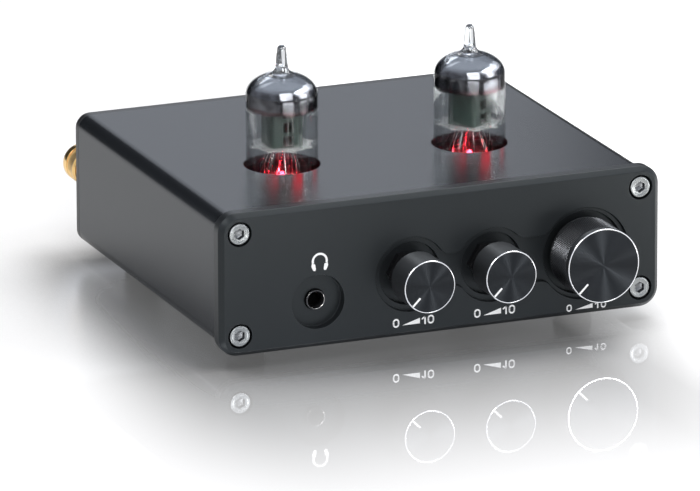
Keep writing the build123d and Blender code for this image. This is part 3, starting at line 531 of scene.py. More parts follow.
def painted_glow_glass_surface(name, color):
    """The glass stem over a lamp, with a painted glow: red emission in streaky glints stands in
    for the lamp's light spreading in the glass.
    """
    w = new_material(name)[1]
    height = w.grained(w.place(), 420.0, (1.0, 1.0, 0.5))["Height"]
    painted_glints = w.ramp(height, 0.55, 0.95, 0.12, 1.0)
    w.principled({
        "Base Color": (0.10, 0.025, 0.03), "Roughness": 0.16,
        "Emission Color": w.mix(painted_glints, (0.0, 0.0, 0.0), color), "Emission Strength": 0.75,
        "Normal": w.bump(height, 0.5, 0.2)})


def lamp_surface(name, color, strength):
    """A lit lamp, whose dome glows unevenly."""
    w = new_material(name)[1]
    toned = w.toned(w.place(), color, 900.0, 0.25)
    w.principled({"Base Color": toned, "Roughness": 0.25, "Emission Color": toned,
                  "Emission Strength": strength})


def make_finishes(context):
    """Every material. Those named like the record's slots dress the CAD nodes too."""
    case = context.scene.preamp_case
    control = context.scene.preamp_control
    tube = context.scene.preamp_tube
    terminal = context.scene.preamp_terminal
    getter_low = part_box("left_tube_stem")[0].z + GETTER_EDGE
    brushed = (1.0, 0.05, 1.0)
    # The brighter edge colours below are partly wear and partly a painted highlight along the
    # edges.
    surface("sleeve_charcoal", case.sleeve_color, 0.26, grain=9000.0, bump=0.05, depth=0.006,
            rough_drift=0.02, tone=0.05, edge=0.25, worn_and_highlit_edge_color=(0.05, 0.05, 0.055),
            **{"Specular IOR Level": 0.31, "Specular Tint": (0.79, 0.89, 1.0, 1.0)})
    surface("panel_charcoal", case.panel_color, 0.36, grain=9000.0, bump=0.08, depth=0.008,
            rough_drift=0.03, tone=0.05, edge=0.25, worn_and_highlit_edge_color=(0.05, 0.05, 0.055),
            **{"Specular IOR Level": 0.30, "Specular Tint": (0.90, 0.98, 1.0, 1.0)})
    surface("rear_black", (0.010, 0.0105, 0.0115), 0.40, grain=9000.0, bump=0.10, depth=0.008,
            rough_drift=0.03, edge=0.25, worn_and_highlit_edge_color=(0.05, 0.05, 0.055))
    surface("bright_steel", (0.26, 0.27, 0.27), 0.28, 1.0, grain=3500.0, bump=0.12, depth=0.01,
            rough_drift=0.10, edge=0.4, worn_and_highlit_edge_color=(0.8, 0.8, 0.8))
    # A darker steel for the inside of a screw's hex socket: painted shade in the recess.
    surface("steel_recess", (0.17, 0.175, 0.18), 0.30, 1.0, grain=3500.0, bump=0.15, depth=0.01,
            rough_drift=0.12)
    surface("foot_rubber", (0.012, 0.012, 0.012), 0.75, grain=3000.0, bump=0.5, depth=0.04,
            tone=0.15, edge=0.3, worn_and_highlit_edge_color=(0.05, 0.05, 0.05))
    surface("board_green", (0.010, 0.085, 0.035), 0.38, grain=900.0, bump=0.35, depth=0.02,
            stretch=(1.0, 1.0, 0.2), tone=0.12)
    surface("nylon", (0.70, 0.68, 0.60), 0.42, bump=0.2, tone=0.06)
    surface("black_plastic", (0.016, 0.016, 0.017), 0.48, grain=4200.0, bump=0.3, depth=0.015,
            edge=0.2, worn_and_highlit_edge_color=(0.06, 0.06, 0.06))
    surface("plated_steel", (0.52, 0.52, 0.50), 0.34, 1.0, grain=1800.0, stretch=brushed, bump=0.2,
            tone=0.12)
    surface("track_carbon", (0.03, 0.028, 0.026), 0.55, bump=0.3)
    surface("spring_bronze", (0.62, 0.36, 0.19), 0.30, 1.0, stretch=brushed, bump=0.15, tone=0.12)
    surface("shaft_aluminium", (0.72, 0.72, 0.73), 0.28, 1.0, stretch=(0.3, 3.0, 0.3), bump=0.15)
    surface("bright_nickel", (0.72, 0.70, 0.66), 0.13, 1.0, grain=2600.0, bump=0.06, depth=0.01,
            rough_drift=0.08, edge=0.2, worn_and_highlit_edge_color=(0.95, 0.93, 0.9))
    surface("gold_plate", terminal.gold_color, 0.20, 1.0, grain=2600.0, bump=0.10, depth=0.01,
            stretch=(0.3, 3.0, 0.3), rough_drift=0.10, tone=0.10, edge=0.3,
            worn_and_highlit_edge_color=(1.0, 0.78, 0.42))
    surface("insulator_white", (0.80, 0.80, 0.77), 0.32, bump=0.1)
    surface("insulator_red", (0.50, 0.012, 0.010), 0.32, bump=0.1)
    glass_surface("tube_glass", (0.965, 0.985, 0.978), 1.27, 0.72)
    glass_surface("tip_glass", (0.74, 0.76, 0.78), 1.50, 0.05)
    painted_glow_glass_surface("stem_glass", tube.lamp_color)
    getter_surface("getter_mirror", getter_low, 0.9 * MM)
    surface("mica", (0.42, 0.43, 0.42), 0.20, grain=1200.0, stretch=(1.0, 1.0, 6.0), bump=0.1,
            depth=0.01, tone=0.10, edge=0.25, worn_and_highlit_edge_color=(0.8, 0.8, 0.78), **{"Alpha": 0.42})
    surface("plate_metal", tube.plate_color, 0.52, grain=2400.0, bump=0.3, depth=0.012, tone=0.16,
            tone_scale=300.0, edge=0.3, worn_and_highlit_edge_color=(0.07, 0.08, 0.075))
    surface("electrode_wire", (0.50, 0.49, 0.48), 0.22, 1.0, grain=3000.0, bump=0.08)
    surface("socket_ceramic", (0.70, 0.69, 0.64), 0.35, bump=0.15, depth=0.03, tone=0.05,
            edge=0.15, worn_and_highlit_edge_color=(0.85, 0.85, 0.82))
    lamp_surface("lamp_red", tube.lamp_color, tube.lamp_glow)
    surface("can_sleeve", (0.010, 0.012, 0.030), 0.28, bump=0.1, stretch=(1.0, 1.0, 0.2))
    surface("film_red", (0.36, 0.030, 0.018), 0.30, bump=0.2, tone=0.1)
    surface("resistor_blue", (0.17, 0.33, 0.44), 0.35, bump=0.2, tone=0.1)
    spun_surface("knob_side", (0.030, 0.032, 0.034), 0.54, 0.9, 0.80)
    spun_surface("knob_black", control.knob_color, 0.42, 0.95, 0.985, bump=0.12)
    surface("knob_knurl", (0.024, 0.025, 0.027), 0.33, 0.95, grain=2400.0, bump=0.1, depth=0.01,
            edge=0.4, worn_and_highlit_edge_color=(0.05, 0.05, 0.055), edge_radius=0.06)
    surface("knob_rim", (0.80, 0.80, 0.81), 0.16, 1.0, grain=3000.0, bump=0.05, depth=0.01)
    surface("nut_black", (0.030, 0.030, 0.032), 0.40, 0.8, bump=0.15, tone=0.1)
    surface("black_nickel", (0.045, 0.045, 0.048), 0.30, 0.9, grain=3000.0, bump=0.06, depth=0.01)
    surface("print_white", case.print_color, 0.55, grain=5000.0, bump=0.1, tone=0.02)
    surface("rod_grey", (0.16, 0.17, 0.165), 0.35, 0.9, bump=0.1)


# ------------------------------------------------------------------ mesh code
def rounded_outline(corners, steps=8):
    """Points round a closed outline whose corners (x, y, radius) are rounded with arcs."""
    points = []
    for index, (x, y, radius) in enumerate(corners):
        here = Vector((x, y))
        if radius <= 0:
            points.append(here)
            continue
        before = (Vector(corners[index - 1][:2]) - here).normalized()
        after = (Vector(corners[(index + 1) % len(corners)][:2]) - here).normalized()
        half = before.angle(after) / 2
        centre = here + (before + after).normalized() * radius / math.sin(half)
        start = here + before * radius / math.tan(half) - centre
        end = here + after * radius / math.tan(half) - centre
        first = math.atan2(start.y, start.x)
        sweep = math.atan2(end.y, end.x) - first
        sweep = (sweep + math.pi) % (2 * math.pi) - math.pi
        for step in range(steps + 1):
            angle = first + sweep * step / steps
            points.append(centre + radius * Vector((math.cos(angle), math.sin(angle))))
    return points


def rounded_path(corners, steps=5):
    """Like rounded_outline, for an open path: its two ends stay sharp."""
    first, last = corners[0], corners[-1]
    ends = [(first[0], first[1], 0.0)] + list(corners[1:-1]) + [(last[0], last[1], 0.0)]
    return rounded_outline(ends, steps)


def bridge(bm, first, second, material=0):
    """Faces between two rings of vertices. A ring of one vertex is a pole."""
    count = max(len(first), len(second))
    for index in range(count):
        following = (index + 1) % count
        if len(first) == 1:
            corners = (first[0], second[following], second[index])
        elif len(second) == 1:
            corners = (first[index], first[following], second[0])
        else:
            corners = (first[index], first[following], second[following], second[index])
        bm.faces.new(corners).material_index = material


def angles(count):
    """Equal steps once round, in radians."""
    return [2 * math.pi * k / count for k in range(count)]


def on_axis(axis, radius, along, angle, centre):
    """A point at a radius and angle round an axis through centre."""
    across = (radius * math.cos(angle), radius * math.sin(angle))
    local = (across[0], along, across[1]) if axis == "Y" else (across[0], across[1], along)
    return Vector(centre) + Vector(local)


def lathe(bm, profile, axis="Y", centre=(0, 0, 0), segments=64, bands=(0,), closed=False):
    """Turns a profile of (radius, along) points. bands gives the stretches their materials, and
    its last value holds for the rest."""
    rings = []
    for radius, along in profile:
        if radius < 1e-7:
            rings.append([bm.verts.new(on_axis(axis, 0.0, along, 0.0, centre))])
            continue
        rings.append([
            bm.verts.new(on_axis(axis, radius, along, angle, centre)) for angle in angles(segments)
        ])
    following = rings[1:] + ([rings[0]] if closed else [])
    for index, (first, second) in enumerate(zip(rings, following)):
        if len(first) + len(second) > 2:
            bridge(bm, first, second, bands[min(index, len(bands) - 1)])


def turned(profile, axis, places, segments, bands=(0,), closed=False):
    """A new mesh with the same turned piece at each of the places."""
    bm = bmesh.new()
    for place in places:
        lathe(bm, profile, axis, place, segments, bands, closed)
    return bm


def prism(bm, outline, axis, start, end, centre=(0, 0, 0), material=0):
    """A flat outline carried along the Y or the Z axis, and closed at both ends."""
    rings = []
    for along in (start, end):
        rings.append([
            bm.verts.new(Vector(centre) + Vector((x, along, y) if axis == "Y" else (x, y, along)))
            for x, y in outline
        ])
    bridge(bm, *rings, material)
    for cap in rings:
        bm.faces.new(cap).material_index = material


def wire(bm, points, radius, sides=8):
    """A round wire through the points, closed at both ends."""
    count = len(points)
    rings = []
    previous = None
    for index, point in enumerate(points):
        ahead = points[min(index + 1, count - 1)]
        behind = points[max(index - 1, 0)]
        along = (Vector(ahead) - Vector(behind)).normalized()
        side = previous - along * previous.dot(along) if previous else along.orthogonal()
        side.normalize()
        previous = side
        other = along.cross(side)
        rings.append([
            bm.verts.new(
                Vector(point)
                + radius * math.cos(angle) * side + radius * math.sin(angle) * other
            )
            for angle in angles(sides)
        ])
    for first, second in zip(rings, rings[1:]):
        bridge(bm, first, second)
    for cap in (rings[0], rings[-1]):
        bm.faces.new(cap)


def broken_edges(node, width):
    """A CAD piece's shape with its flat faces merged and its sharp edges broken."""
    bm = bmesh.new()
    bm.from_mesh(frame["nodes"][node].data)
    bmesh.ops.remove_doubles(bm, verts=bm.verts, dist=0.0005 * MM)
    bmesh.ops.dissolve_limit(
        bm, angle_limit=math.radians(0.4), verts=bm.verts, edges=bm.edges
    )
    edges = [
        edge for edge in bm.edges
        if len(edge.link_faces) == 2 and edge.calc_face_angle() > math.radians(30.0)
    ]
    bmesh.ops.bevel(
        bm, geom=edges, offset=width, segments=2, profile=0.5, affect="EDGES",
        clamp_overlap=True,
    )
    return bm


def weigh_normals(piece):
    """Lets each vertex take its normal from its largest faces, so flats stay flat."""
    modifier = piece.modifiers.new("Weighted normals", "WEIGHTED_NORMAL")
    modifier.keep_sharp = True
    modifier.weight = 50
    bpy.context.view_layer.update()
    graph = bpy.context.evaluated_depsgraph_get()
    mesh = bpy.data.meshes.new_from_object(piece.evaluated_get(graph), depsgraph=graph)
    piece.modifiers.clear()
    old = piece.data
    piece.data = mesh
    bpy.data.meshes.remove(old)
    mesh.name = piece.name


def piece_from(bm, name, body, slot, finishes=None, replaced=(), origin=(0, 0, 0), sharp=38.0,
               weighted=True):
    """Finishes a mesh: gives it its finishes (the slot's, unless others are given), parents it to
    its body and hides the CAD nodes that it replaces.
    """
    bmesh.ops.recalc_face_normals(bm, faces=bm.faces)
    mesh = bpy.data.meshes.new(name)
    bm.to_mesh(mesh)
    bm.free()
    for finish in finishes or [slot]:
        mesh.materials.append(FINISHES[finish])
    mesh.shade_smooth()
    mesh.set_sharp_from_angle(angle=math.radians(sharp))
    piece = bpy.data.objects.new(name, mesh)
    piece.location = origin
    bpy.context.scene.collection.objects.link(piece)
    if weighted:
        weigh_normals(piece)
    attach(piece, body)
    if replaced:
        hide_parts(*replaced)
    return piece


# ------------------------------------------------------------------ the case
class PREAMP_OT_case(bpy.types.Operator):
    """Make the sleeve, the front panel and the rear panel"""

    bl_idname = "preamp.case"
    bl_label = "Case"

    def execute(self, context):
        case = context.scene.preamp_case
        for node, name in (
            ("chassis_sleeve", "case_sleeve"),
            ("front_panel", "front_plate"),
            ("rear_panel", "rear_plate"),
        ):
            bm = broken_edges(node, case.edge_break)
            piece_from(bm, name, "chassis", SLOT_OF[node], replaced=[node])
        return {"FINISHED"}


# ------------------------------------------------------------------ screws and feet
def socket_screw(bm, centre, direction, radius, height, key_across, key_depth, length):
    """A socket screw along Y: direction is -1 where its head points to the front."""
    shank = 1.5 * MM
    edge = 0.28 * MM
    steps = 48
    seat = centre[1]
    top = seat + direction * height

    def ring(r, y):
        return [
            bm.verts.new((centre[0] + r * math.cos(a), y, centre[2] + r * math.sin(a)))
            for a in angles(steps)
        ]

    def key_ring(across, y):
        verts = []
        for a in angles(steps):
            off = (a + math.pi / 6) % (math.pi / 3) - math.pi / 6
            r = across / 2 / math.cos(off)
            x, z = centre[0] + r * math.cos(a), centre[2] + r * math.sin(a)
            verts.append(bm.verts.new((x, y, z)))
        return verts

    tip = [bm.verts.new((centre[0], seat - direction * length, centre[2]))]
    rings = [
        tip,
        ring(shank - 0.25 * MM, seat - direction * length),
        ring(shank, seat - direction * (length - 0.25 * MM)),
        ring(shank, seat),
        ring(radius - 0.1 * MM, seat),
        ring(radius, seat + direction * 0.1 * MM),
        ring(radius, top - direction * edge),
        ring(radius - 0.09 * MM, top - direction * edge * 0.35),
        ring(radius - edge, top),
        ring(radius - 0.62 * MM, top),
        ring(radius - 0.70 * MM, top - direction * 0.05 * MM),
        key_ring(key_across + 0.24 * MM, top - direction * 0.05 * MM),
        key_ring(key_across, top - direction * 0.17 * MM),
        key_ring(key_across, top - direction * key_depth),
        [bm.verts.new((centre[0], top - direction * (key_depth + 0.5 * MM), centre[2]))],
    ]
    # The hex socket's walls take the second finish, a darker steel that paints the shade in the
    # socket.
    for index, (first, second) in enumerate(zip(rings, rings[1:])):
        bridge(bm, first, second, 1 if index > 11 else 0)


class PREAMP_OT_screws(bpy.types.Operator):
    """Make the four front screws and the four rear screws"""

    bl_idname = "preamp.screws"
    bl_label = "Panel screws"

    def execute(self, context):
        case = context.scene.preamp_case
        radius = case.screw_head_radius
        front_low, front_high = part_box("front_panel_screws")
        rear_low, rear_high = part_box("rear_panel_screws")
        sunk = 3.0 * MM
        for panel, seat, direction, head, key_depth, length in (
            ("front", front_low.y + sunk, -1, sunk, 1.6 * MM, front_high.y - front_low.y - sunk),
            ("rear", REAR_FACE, 1, rear_high.y - REAR_FACE, 0.9 * MM, REAR_FACE - rear_low.y),
        ):
            node = panel + "_panel_screws"
            bm = bmesh.new()
            for x, z in mirror_places(node, radius):
                socket_screw(bm, (x, seat, z), direction, radius, head, case.screw_key_across,
                             key_depth, length)
            piece_from(bm, panel + "_screws", "chassis", "bright_steel",
                       ["bright_steel", "steel_recess"], [node])
        return {"FINISHED"}


class PREAMP_OT_feet(bpy.types.Operator):
    """Make the four rubber feet"""

    bl_idname = "preamp.feet"
    bl_label = "Feet"

    def execute(self, context):
        case = context.scene.preamp_case
        low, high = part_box("rubber_feet")
        top = 5.0 * MM
        tread = 4.4 * MM
        profile = rounded_path([
            (0.0, high.z, 0.0), (top, high.z, 0.15 * MM), (tread, low.z, case.foot_round),
            (2.9 * MM, low.z, 0.2 * MM), (2.5 * MM, low.z + 0.35 * MM, 0.2 * MM),
            (0.0, low.z + 0.35 * MM, 0.0),
        ])
        places = [
            (x, y, 0.0) for x in (low.x + top, high.x - top) for y in (low.y + top, high.y - top)
        ]
        piece_from(turned(profile, "Z", places, 48), "feet", "chassis", "foot_rubber",
                   replaced=["rubber_feet"])
        return {"FINISHED"}


# ------------------------------------------------------------------ knobs
KNOB_BORE = 3.0 * MM
KNOB_RECESS = 0.05 * MM
POINTER_ANGLE = math.radians(225)


def knob_face(radius, rim):
    """A knob's turned face and its bright rim, from the centre outwards."""
    return [
        (0.0, KNOB_RECESS), (radius - rim - 0.06 * MM, KNOB_RECESS), (radius - rim, 0.0),
        (radius - rim * 0.52, 0.0), (radius, rim * 0.62),
    ]


def knob_body(bm, radius, length, rim):
    """A knob about its own Y axis, face at y 0: spun face, bright rim, plain side, hollow back."""
    bore = KNOB_BORE
    profile = knob_face(radius, rim) + [(radius, rim * 0.62 + 0.05 * MM)]
    back = rounded_path([
        (radius, rim * 0.62 + 0.05 * MM, 0.0), (radius, length, 0.35 * MM),
        (radius - 1.6 * MM, length, 0.25 * MM), (radius - 1.8 * MM, length - 1.2 * MM, 0.2 * MM),
        (bore + 1.3 * MM, length - 1.2 * MM, 0.2 * MM), (bore + 1.1 * MM, length, 0.2 * MM),
        (bore, length, 0.0),
    ])[1:]
    profile += [tuple(point) for point in back] + [(bore, 2.5 * MM), (0.0, 2.5 * MM)]
    lathe(bm, profile, "Y", segments=128, bands=(0, 1, 1, 1, 2))


def knurled_band(bm, radius, start, end, count, depth):
    """Diamond knurl round the Y axis: two crossing families of grooves in a sleeve."""
    pitch = 2 * math.pi * radius / count
    around = count * 6
    rows = max(4, round((end - start) / pitch * 6 * 0.9))
    rings = []
    for row in range(rows + 1):
        along = start + (end - start) * row / rows
        fade = min(1.0, min(row, rows - row) / 3)
        ring = []
        for k in range(around):
            turn = k / 6
            climb = (along - start) / pitch * 0.9
            first = abs((turn + climb) % 1.0 - 0.5) * 2
            second = abs((turn - climb) % 1.0 - 0.5) * 2
            height = min(1.0, 1.7 * min(first, second))
            angle = 2 * math.pi * k / around
            r = radius - depth * (1.0 - height * fade)
            ring.append(bm.verts.new((r * math.cos(angle), along, r * math.sin(angle))))
        rings.append(ring)
    for low, high in zip(rings, rings[1:]):
        bridge(bm, low, high, 3)
    inner = radius - 1.2 * depth
    for ring, along in ((rings[0], start), (rings[-1], end)):
        hidden = [
            bm.verts.new((inner * math.cos(a), along, inner * math.sin(a)))
            for a in angles(around)
        ]
        bridge(bm, ring, hidden, 2)


def pointer(bm, start, end, width, face):
    """A white line on a knob's face, from start to end, towards the lower left."""
    half = width / 2
    outline = rounded_outline([
        (start, -half, half * 0.5), (end, -half, half * 0.2), (end, half, half * 0.2),
        (start, half, half * 0.5),
    ], 4)
    turn = Matrix.Rotation(POINTER_ANGLE, 2)
    prism(bm, [turn @ point for point in outline], "Y", face, face + 0.12 * MM)


class PREAMP_OT_knobs(bpy.types.Operator):
    """Make the treble, bass and volume knobs with their pointers"""

    bl_idname = "preamp.knobs"
    bl_label = "Knobs"

    def execute(self, context):
        control = context.scene.preamp_control
        for name, start in (("treble", 3.7 * MM), ("bass", 3.7 * MM), ("volume", 6.1 * MM)):
            low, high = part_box(name + "_knob")
            middle = centre_of(name + "_knob")
            origin = (middle.x, low.y, middle.z)
            radius = (high.x - low.x) / 2
            length = high.y - low.y
            bm = bmesh.new()
            if name == "volume":
                core = radius - 1.1 * control.knurl_depth
                band_end = length - 0.4 * MM
                knob_sleeve(bm, radius, core, length, control.rim_width, control.knurl_start,
                            band_end)
                knurled_band(bm, radius, control.knurl_start, band_end,
                             control.knurl_count, control.knurl_depth)
            else:
                knob_body(bm, radius, length, control.rim_width)
            piece_from(bm, name + "_dial", name + "_control", "knob_black",
                       ["knob_black", "knob_rim", "knob_side", "knob_knurl"], [name + "_knob"],
                       origin)
            bm = bmesh.new()
            pointer(bm, start, radius - control.rim_width - 0.1 * MM, control.pointer_width,
                    0.015 * MM)
            piece_from(bm, name + "_pointer", name + "_control", "knob_black", ["print_white"],
                       origin=origin)
        return {"FINISHED"}


def knob_sleeve(bm, radius, core, length, rim, band_start, band_end):
    """The volume knob without its knurl: its side steps in where the knurl goes."""
    bore = KNOB_BORE
    profile = knob_face(radius, rim) + [
        (radius, band_start - 0.12 * MM), (radius - 0.1 * MM, band_start), (core, band_start),
        (core, band_end), (radius - 0.1 * MM, band_end),
        (radius - 0.1 * MM, length - 0.15 * MM), (radius - 0.3 * MM, length),
        (radius - 1.6 * MM, length), (radius - 1.8 * MM, length - 1.5 * MM),
        (bore + 1.5 * MM, length - 1.5 * MM), (bore + 1.3 * MM, length), (bore, length),
        (bore, 2.5 * MM), (0.0, 2.5 * MM),
    ]
    lathe(bm, profile, "Y", segments=144, bands=(0, 1, 1, 1, 2))


# ------------------------------------------------------------------ headphone socket and prints
class PREAMP_OT_headphone_socket(bpy.types.Operator):
    """Make the headphone socket's bright bushing"""

    bl_idname = "preamp.headphone_socket"
    bl_label = "Headphone socket"

    def execute(self, context):
        low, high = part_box("headphone_jack_bushing")
        middle = centre_of("headphone_jack_bushing")
        outer = (high.x - low.x) / 2
        bore = 1.8 * MM
        lip = 2.22 * MM
        profile = [
            (outer, high.y), (outer, low.y + 0.16 * MM), (outer - 0.07 * MM, low.y + 0.04 * MM),
            (outer - 0.14 * MM, low.y), (lip + 0.07 * MM, low.y), (lip, low.y + 0.06 * MM),
            (lip - 0.06 * MM, low.y + 0.25 * MM), (bore + 0.08 * MM, low.y + 0.7 * MM),
            (bore, low.y + 0.9 * MM), (bore, high.y),
        ]
        bm = turned(profile, "Y", [(middle.x, 0.0, middle.z)], 72, (1, 0, 1, 1, 0, 1), True)
        piece_from(bm, "headphone_rim", "chassis", "bright_nickel",
                   ["bright_nickel", "black_nickel"], ["headphone_jack_bushing"])
        return {"FINISHED"}


def flat_print(name, outlines, face, toward=-1):
    """White print on a panel: filled outlines a hair proud of the face."""
    thickness = 0.02 * MM
    bm = bmesh.new()
    for outline in outlines:
        prism(bm, outline, "Y", face + toward * thickness, face - toward * thickness)
    return piece_from(bm, name, "chassis", "panel_charcoal", ["print_white"], weighted=False)


def arc_band(centre, radius, width, start, end, steps=28):
    """Outline of a band that follows an arc, angles in degrees."""
    points = []
    for side, order in ((1, range(steps + 1)), (-1, range(steps, -1, -1))):
        for step in order:
            angle = math.radians(start + (end - start) * step / steps)
            r = radius + side * width / 2
            x, y = centre[0] + r * math.cos(angle), centre[1] + r * math.sin(angle)
            points.append(Vector((x, y)))
    return points


def bar(x0, z0, x1, z1, width):
    """Outline of a straight stroke with round ends."""
    along = Vector((x1 - x0, z1 - z0))
    turn = math.atan2(along.y, along.x)
    points = []
    for centre, first in (((x1, z1), -90), ((x0, z0), 90)):
        for step in range(9):
            angle = turn + math.radians(first + 180 * step / 8)
            points.append(Vector(centre) + width / 2 * Vector((math.cos(angle), math.sin(angle))))
    return points


def numeral(digit, x, z, height, stroke):
    """Outlines of a plain 0 or 1, centred at (x, z)."""
    half = height / 2 - stroke / 2
    if digit == "1":
        return [bar(x, z - half, x, z + half, stroke),
                bar(x, z + half, x - 0.32 * height, z + half - 0.24 * height, stroke)]
    wide = 0.30 * height
    round_z = half - wide
    return [
        arc_band((x, z + round_z), wide, stroke, 0, 180, 16),
        arc_band((x, z - round_z), wide, stroke, 180, 360, 16),
        bar(x - wide, z - round_z, x - wide, z + round_z, stroke),
        bar(x + wide, z - round_z, x + wide, z + round_z, stroke),
    ]


class PREAMP_OT_prints(bpy.types.Operator):
    """Print the plain marks on the front and rear panels"""

    bl_idname = "preamp.prints"
    bl_label = "Prints"

    def execute(self, context):
        base = PANEL_LOW.z
        jack = centre_of("headphone_jack_bushing")
        # Headphone symbol: a band over the head and an ear pad at each end.
        x, z = jack.x + 0.45 * MM, base + 22.6 * MM
        band = arc_band((x, z), 1.88 * MM, 0.56 * MM, -16, 196)
        pads = []
        for side in (-1, 1):
            pads.append(rounded_outline([
                (x + side * 1.00 * MM, z - 2.55 * MM, 0.35 * MM),
                (x + side * 1.75 * MM, z - 2.45 * MM, 0.4 * MM),
                (x + side * 2.25 * MM, z - 1.3 * MM, 0.4 * MM),
                (x + side * 2.15 * MM, z - 0.5 * MM, 0.2 * MM),
                (x + side * 1.25 * MM, z - 0.75 * MM, 0.25 * MM),
            ], 4))
        flat_print("headphone_symbol", [band] + pads, FRONT_FACE)
        # Dial ends: 0, a wedge that grows, and 10, under each knob.
        for name, height in (("treble", 3.8), ("bass", 3.8), ("volume", 2.2)):
            centre = centre_of(name + "_knob").x
            z = base + height * MM
            size = 2.3 * MM if name != "volume" else 1.9 * MM
            stroke = 0.42 * MM if name != "volume" else 0.36 * MM
            marks = numeral("0", centre - 4.3 * MM, z, size, stroke)
            marks += numeral("1", centre + 3.6 * MM, z, size, stroke)
            marks += numeral("0", centre + 5.2 * MM, z, size, stroke)
            marks.append([
                Vector((centre - 2.6 * MM, z - size * 0.32)),
                Vector((centre + 2.2 * MM, z - size * 0.32)),
                Vector((centre + 2.2 * MM, z + size * 0.32)),
            ])
            flat_print(name + "_scale", marks, FRONT_FACE)
        self.mark_back()
        return {"FINISHED"}

    def mark_back(self):
        """A frame round each pair of phono sockets, and an earth symbol under the terminal."""
        low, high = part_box("rca_shells")
        middle = (low.z + high.z) / 2
        stroke = 0.35 * MM
        marks = []
        half = stroke / 2
        pair, margin, reach = 22.3 * MM, 2.2 * MM, 7.2 * MM
        bottom, top = middle - reach, middle + reach
        for start, end in ((low.x, low.x + pair), (high.x - pair, high.x)):
            left, right = start - margin, end + margin
            marks += [
                bar(left - half, bottom, right + half, bottom, stroke),
                bar(left - half, top, right + half, top, stroke),
                bar(left, bottom + half, left, top - half, stroke),
                bar(right, bottom + half, right, top - half, stroke),
            ]
        x, z = centre_of("ground_stud").x, centre_of("ground_stud").z - 9.6 * MM
        for width, level in ((0.8, 0.0), (2.0, 0.8), (3.2, 1.6)):
            across = width * MM / 2
            marks.append(bar(x - across, z + level * MM, x + across, z + level * MM, stroke))
        marks.append(bar(x, z + 1.6 * MM + stroke / 2, x, z + 3.0 * MM, stroke))
        flat_print("rear_marks", marks, REAR_FACE, 1)


# ------------------------------------------------------------------ rear sockets
class PREAMP_OT_rear_sockets(bpy.types.Operator):
    """Make the phono sockets and the power inlet"""

    bl_idname = "preamp.rear_sockets"
    bl_label = "Rear sockets"

    def execute(self, context):
        terminal = context.scene.preamp_terminal
        low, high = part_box("rca_shells")
        outer = 4.15 * MM
        inner = 3.5 * MM
        root = 3.9 * MM
        z = centre_of("rca_shells").z
        apart = 14 * MM
        first, last = low.x + outer, high.x - outer
        seats = [(x, 0.0, z) for x in (first, first + apart, last - apart, last)]
        lip = terminal.shell_lip
        profile = rounded_outline([
            (root, low.y, 0.05 * MM), (root, REAR_FACE, 0.0), (outer, REAR_FACE, 0.0),
            (outer, high.y - 1.6 * MM, 0.0), (outer - 0.12 * MM, high.y - 1.45 * MM, 0.0),
            (outer - 0.12 * MM, high.y - 1.2 * MM, 0.0), (outer, high.y - 1.05 * MM, 0.0),
            (outer, high.y, lip), (inner, high.y, lip), (inner, low.y, 0.05 * MM),
        ], 4)
        piece_from(turned(profile, "Y", seats, 64, closed=True), "phono_shells", "chassis",
                   "bright_nickel", replaced=["rca_shells"])
        hole = 2.2 * MM
        for node, chosen in (
            ("rca_insulators_white", seats[::2]), ("rca_insulators_red", seats[1::2]),
        ):
            in_low, in_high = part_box(node)
            profile = rounded_outline([
                (inner, in_low.y, 0.0), (inner, in_high.y, 0.12 * MM),
                (hole + 0.35 * MM, in_high.y, 0.12 * MM), (hole, in_high.y - 0.5 * MM, 0.1 * MM),
                (hole, in_low.y, 0.0),
            ], 4)
            piece_from(turned(profile, "Y", chosen, 56, closed=True),
                       node.replace("rca_", "phono_"), "chassis", SLOT_OF[node], replaced=[node])
        con_low, con_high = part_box("rca_centre_contacts")
        profile = rounded_outline([
            (hole, con_low.y, 0.0), (hole, con_high.y, 0.15 * MM),
            (1.65 * MM, con_high.y, 0.15 * MM), (1.65 * MM, con_low.y, 0.0),
        ], 4)
        piece_from(turned(profile, "Y", seats, 40, closed=True), "phono_contacts", "chassis",
                   "bright_nickel", replaced=["rca_centre_contacts"])
        for node, name in (("rca_housings", "phono_housings"), ("dc_jack_body", "power_inlet")):
            piece_from(broken_edges(node, 0.12 * MM), name, "chassis", SLOT_OF[node],
                       replaced=[node])
        pin_low, pin_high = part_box("dc_jack_pin")
        middle = centre_of("dc_jack_pin")
        radius = (pin_high.x - pin_low.x) / 2
        profile = rounded_path([
            (0.0, pin_low.y, 0.0), (radius, pin_low.y, 0.0), (radius, pin_high.y, 0.45 * MM),
            (0.0, pin_high.y, 0.0),
        ])
        piece_from(turned(profile, "Y", [(middle.x, 0.0, middle.z)], 32), "power_pin", "chassis",
                   "bright_nickel", replaced=["dc_jack_pin"])
        return {"FINISHED"}


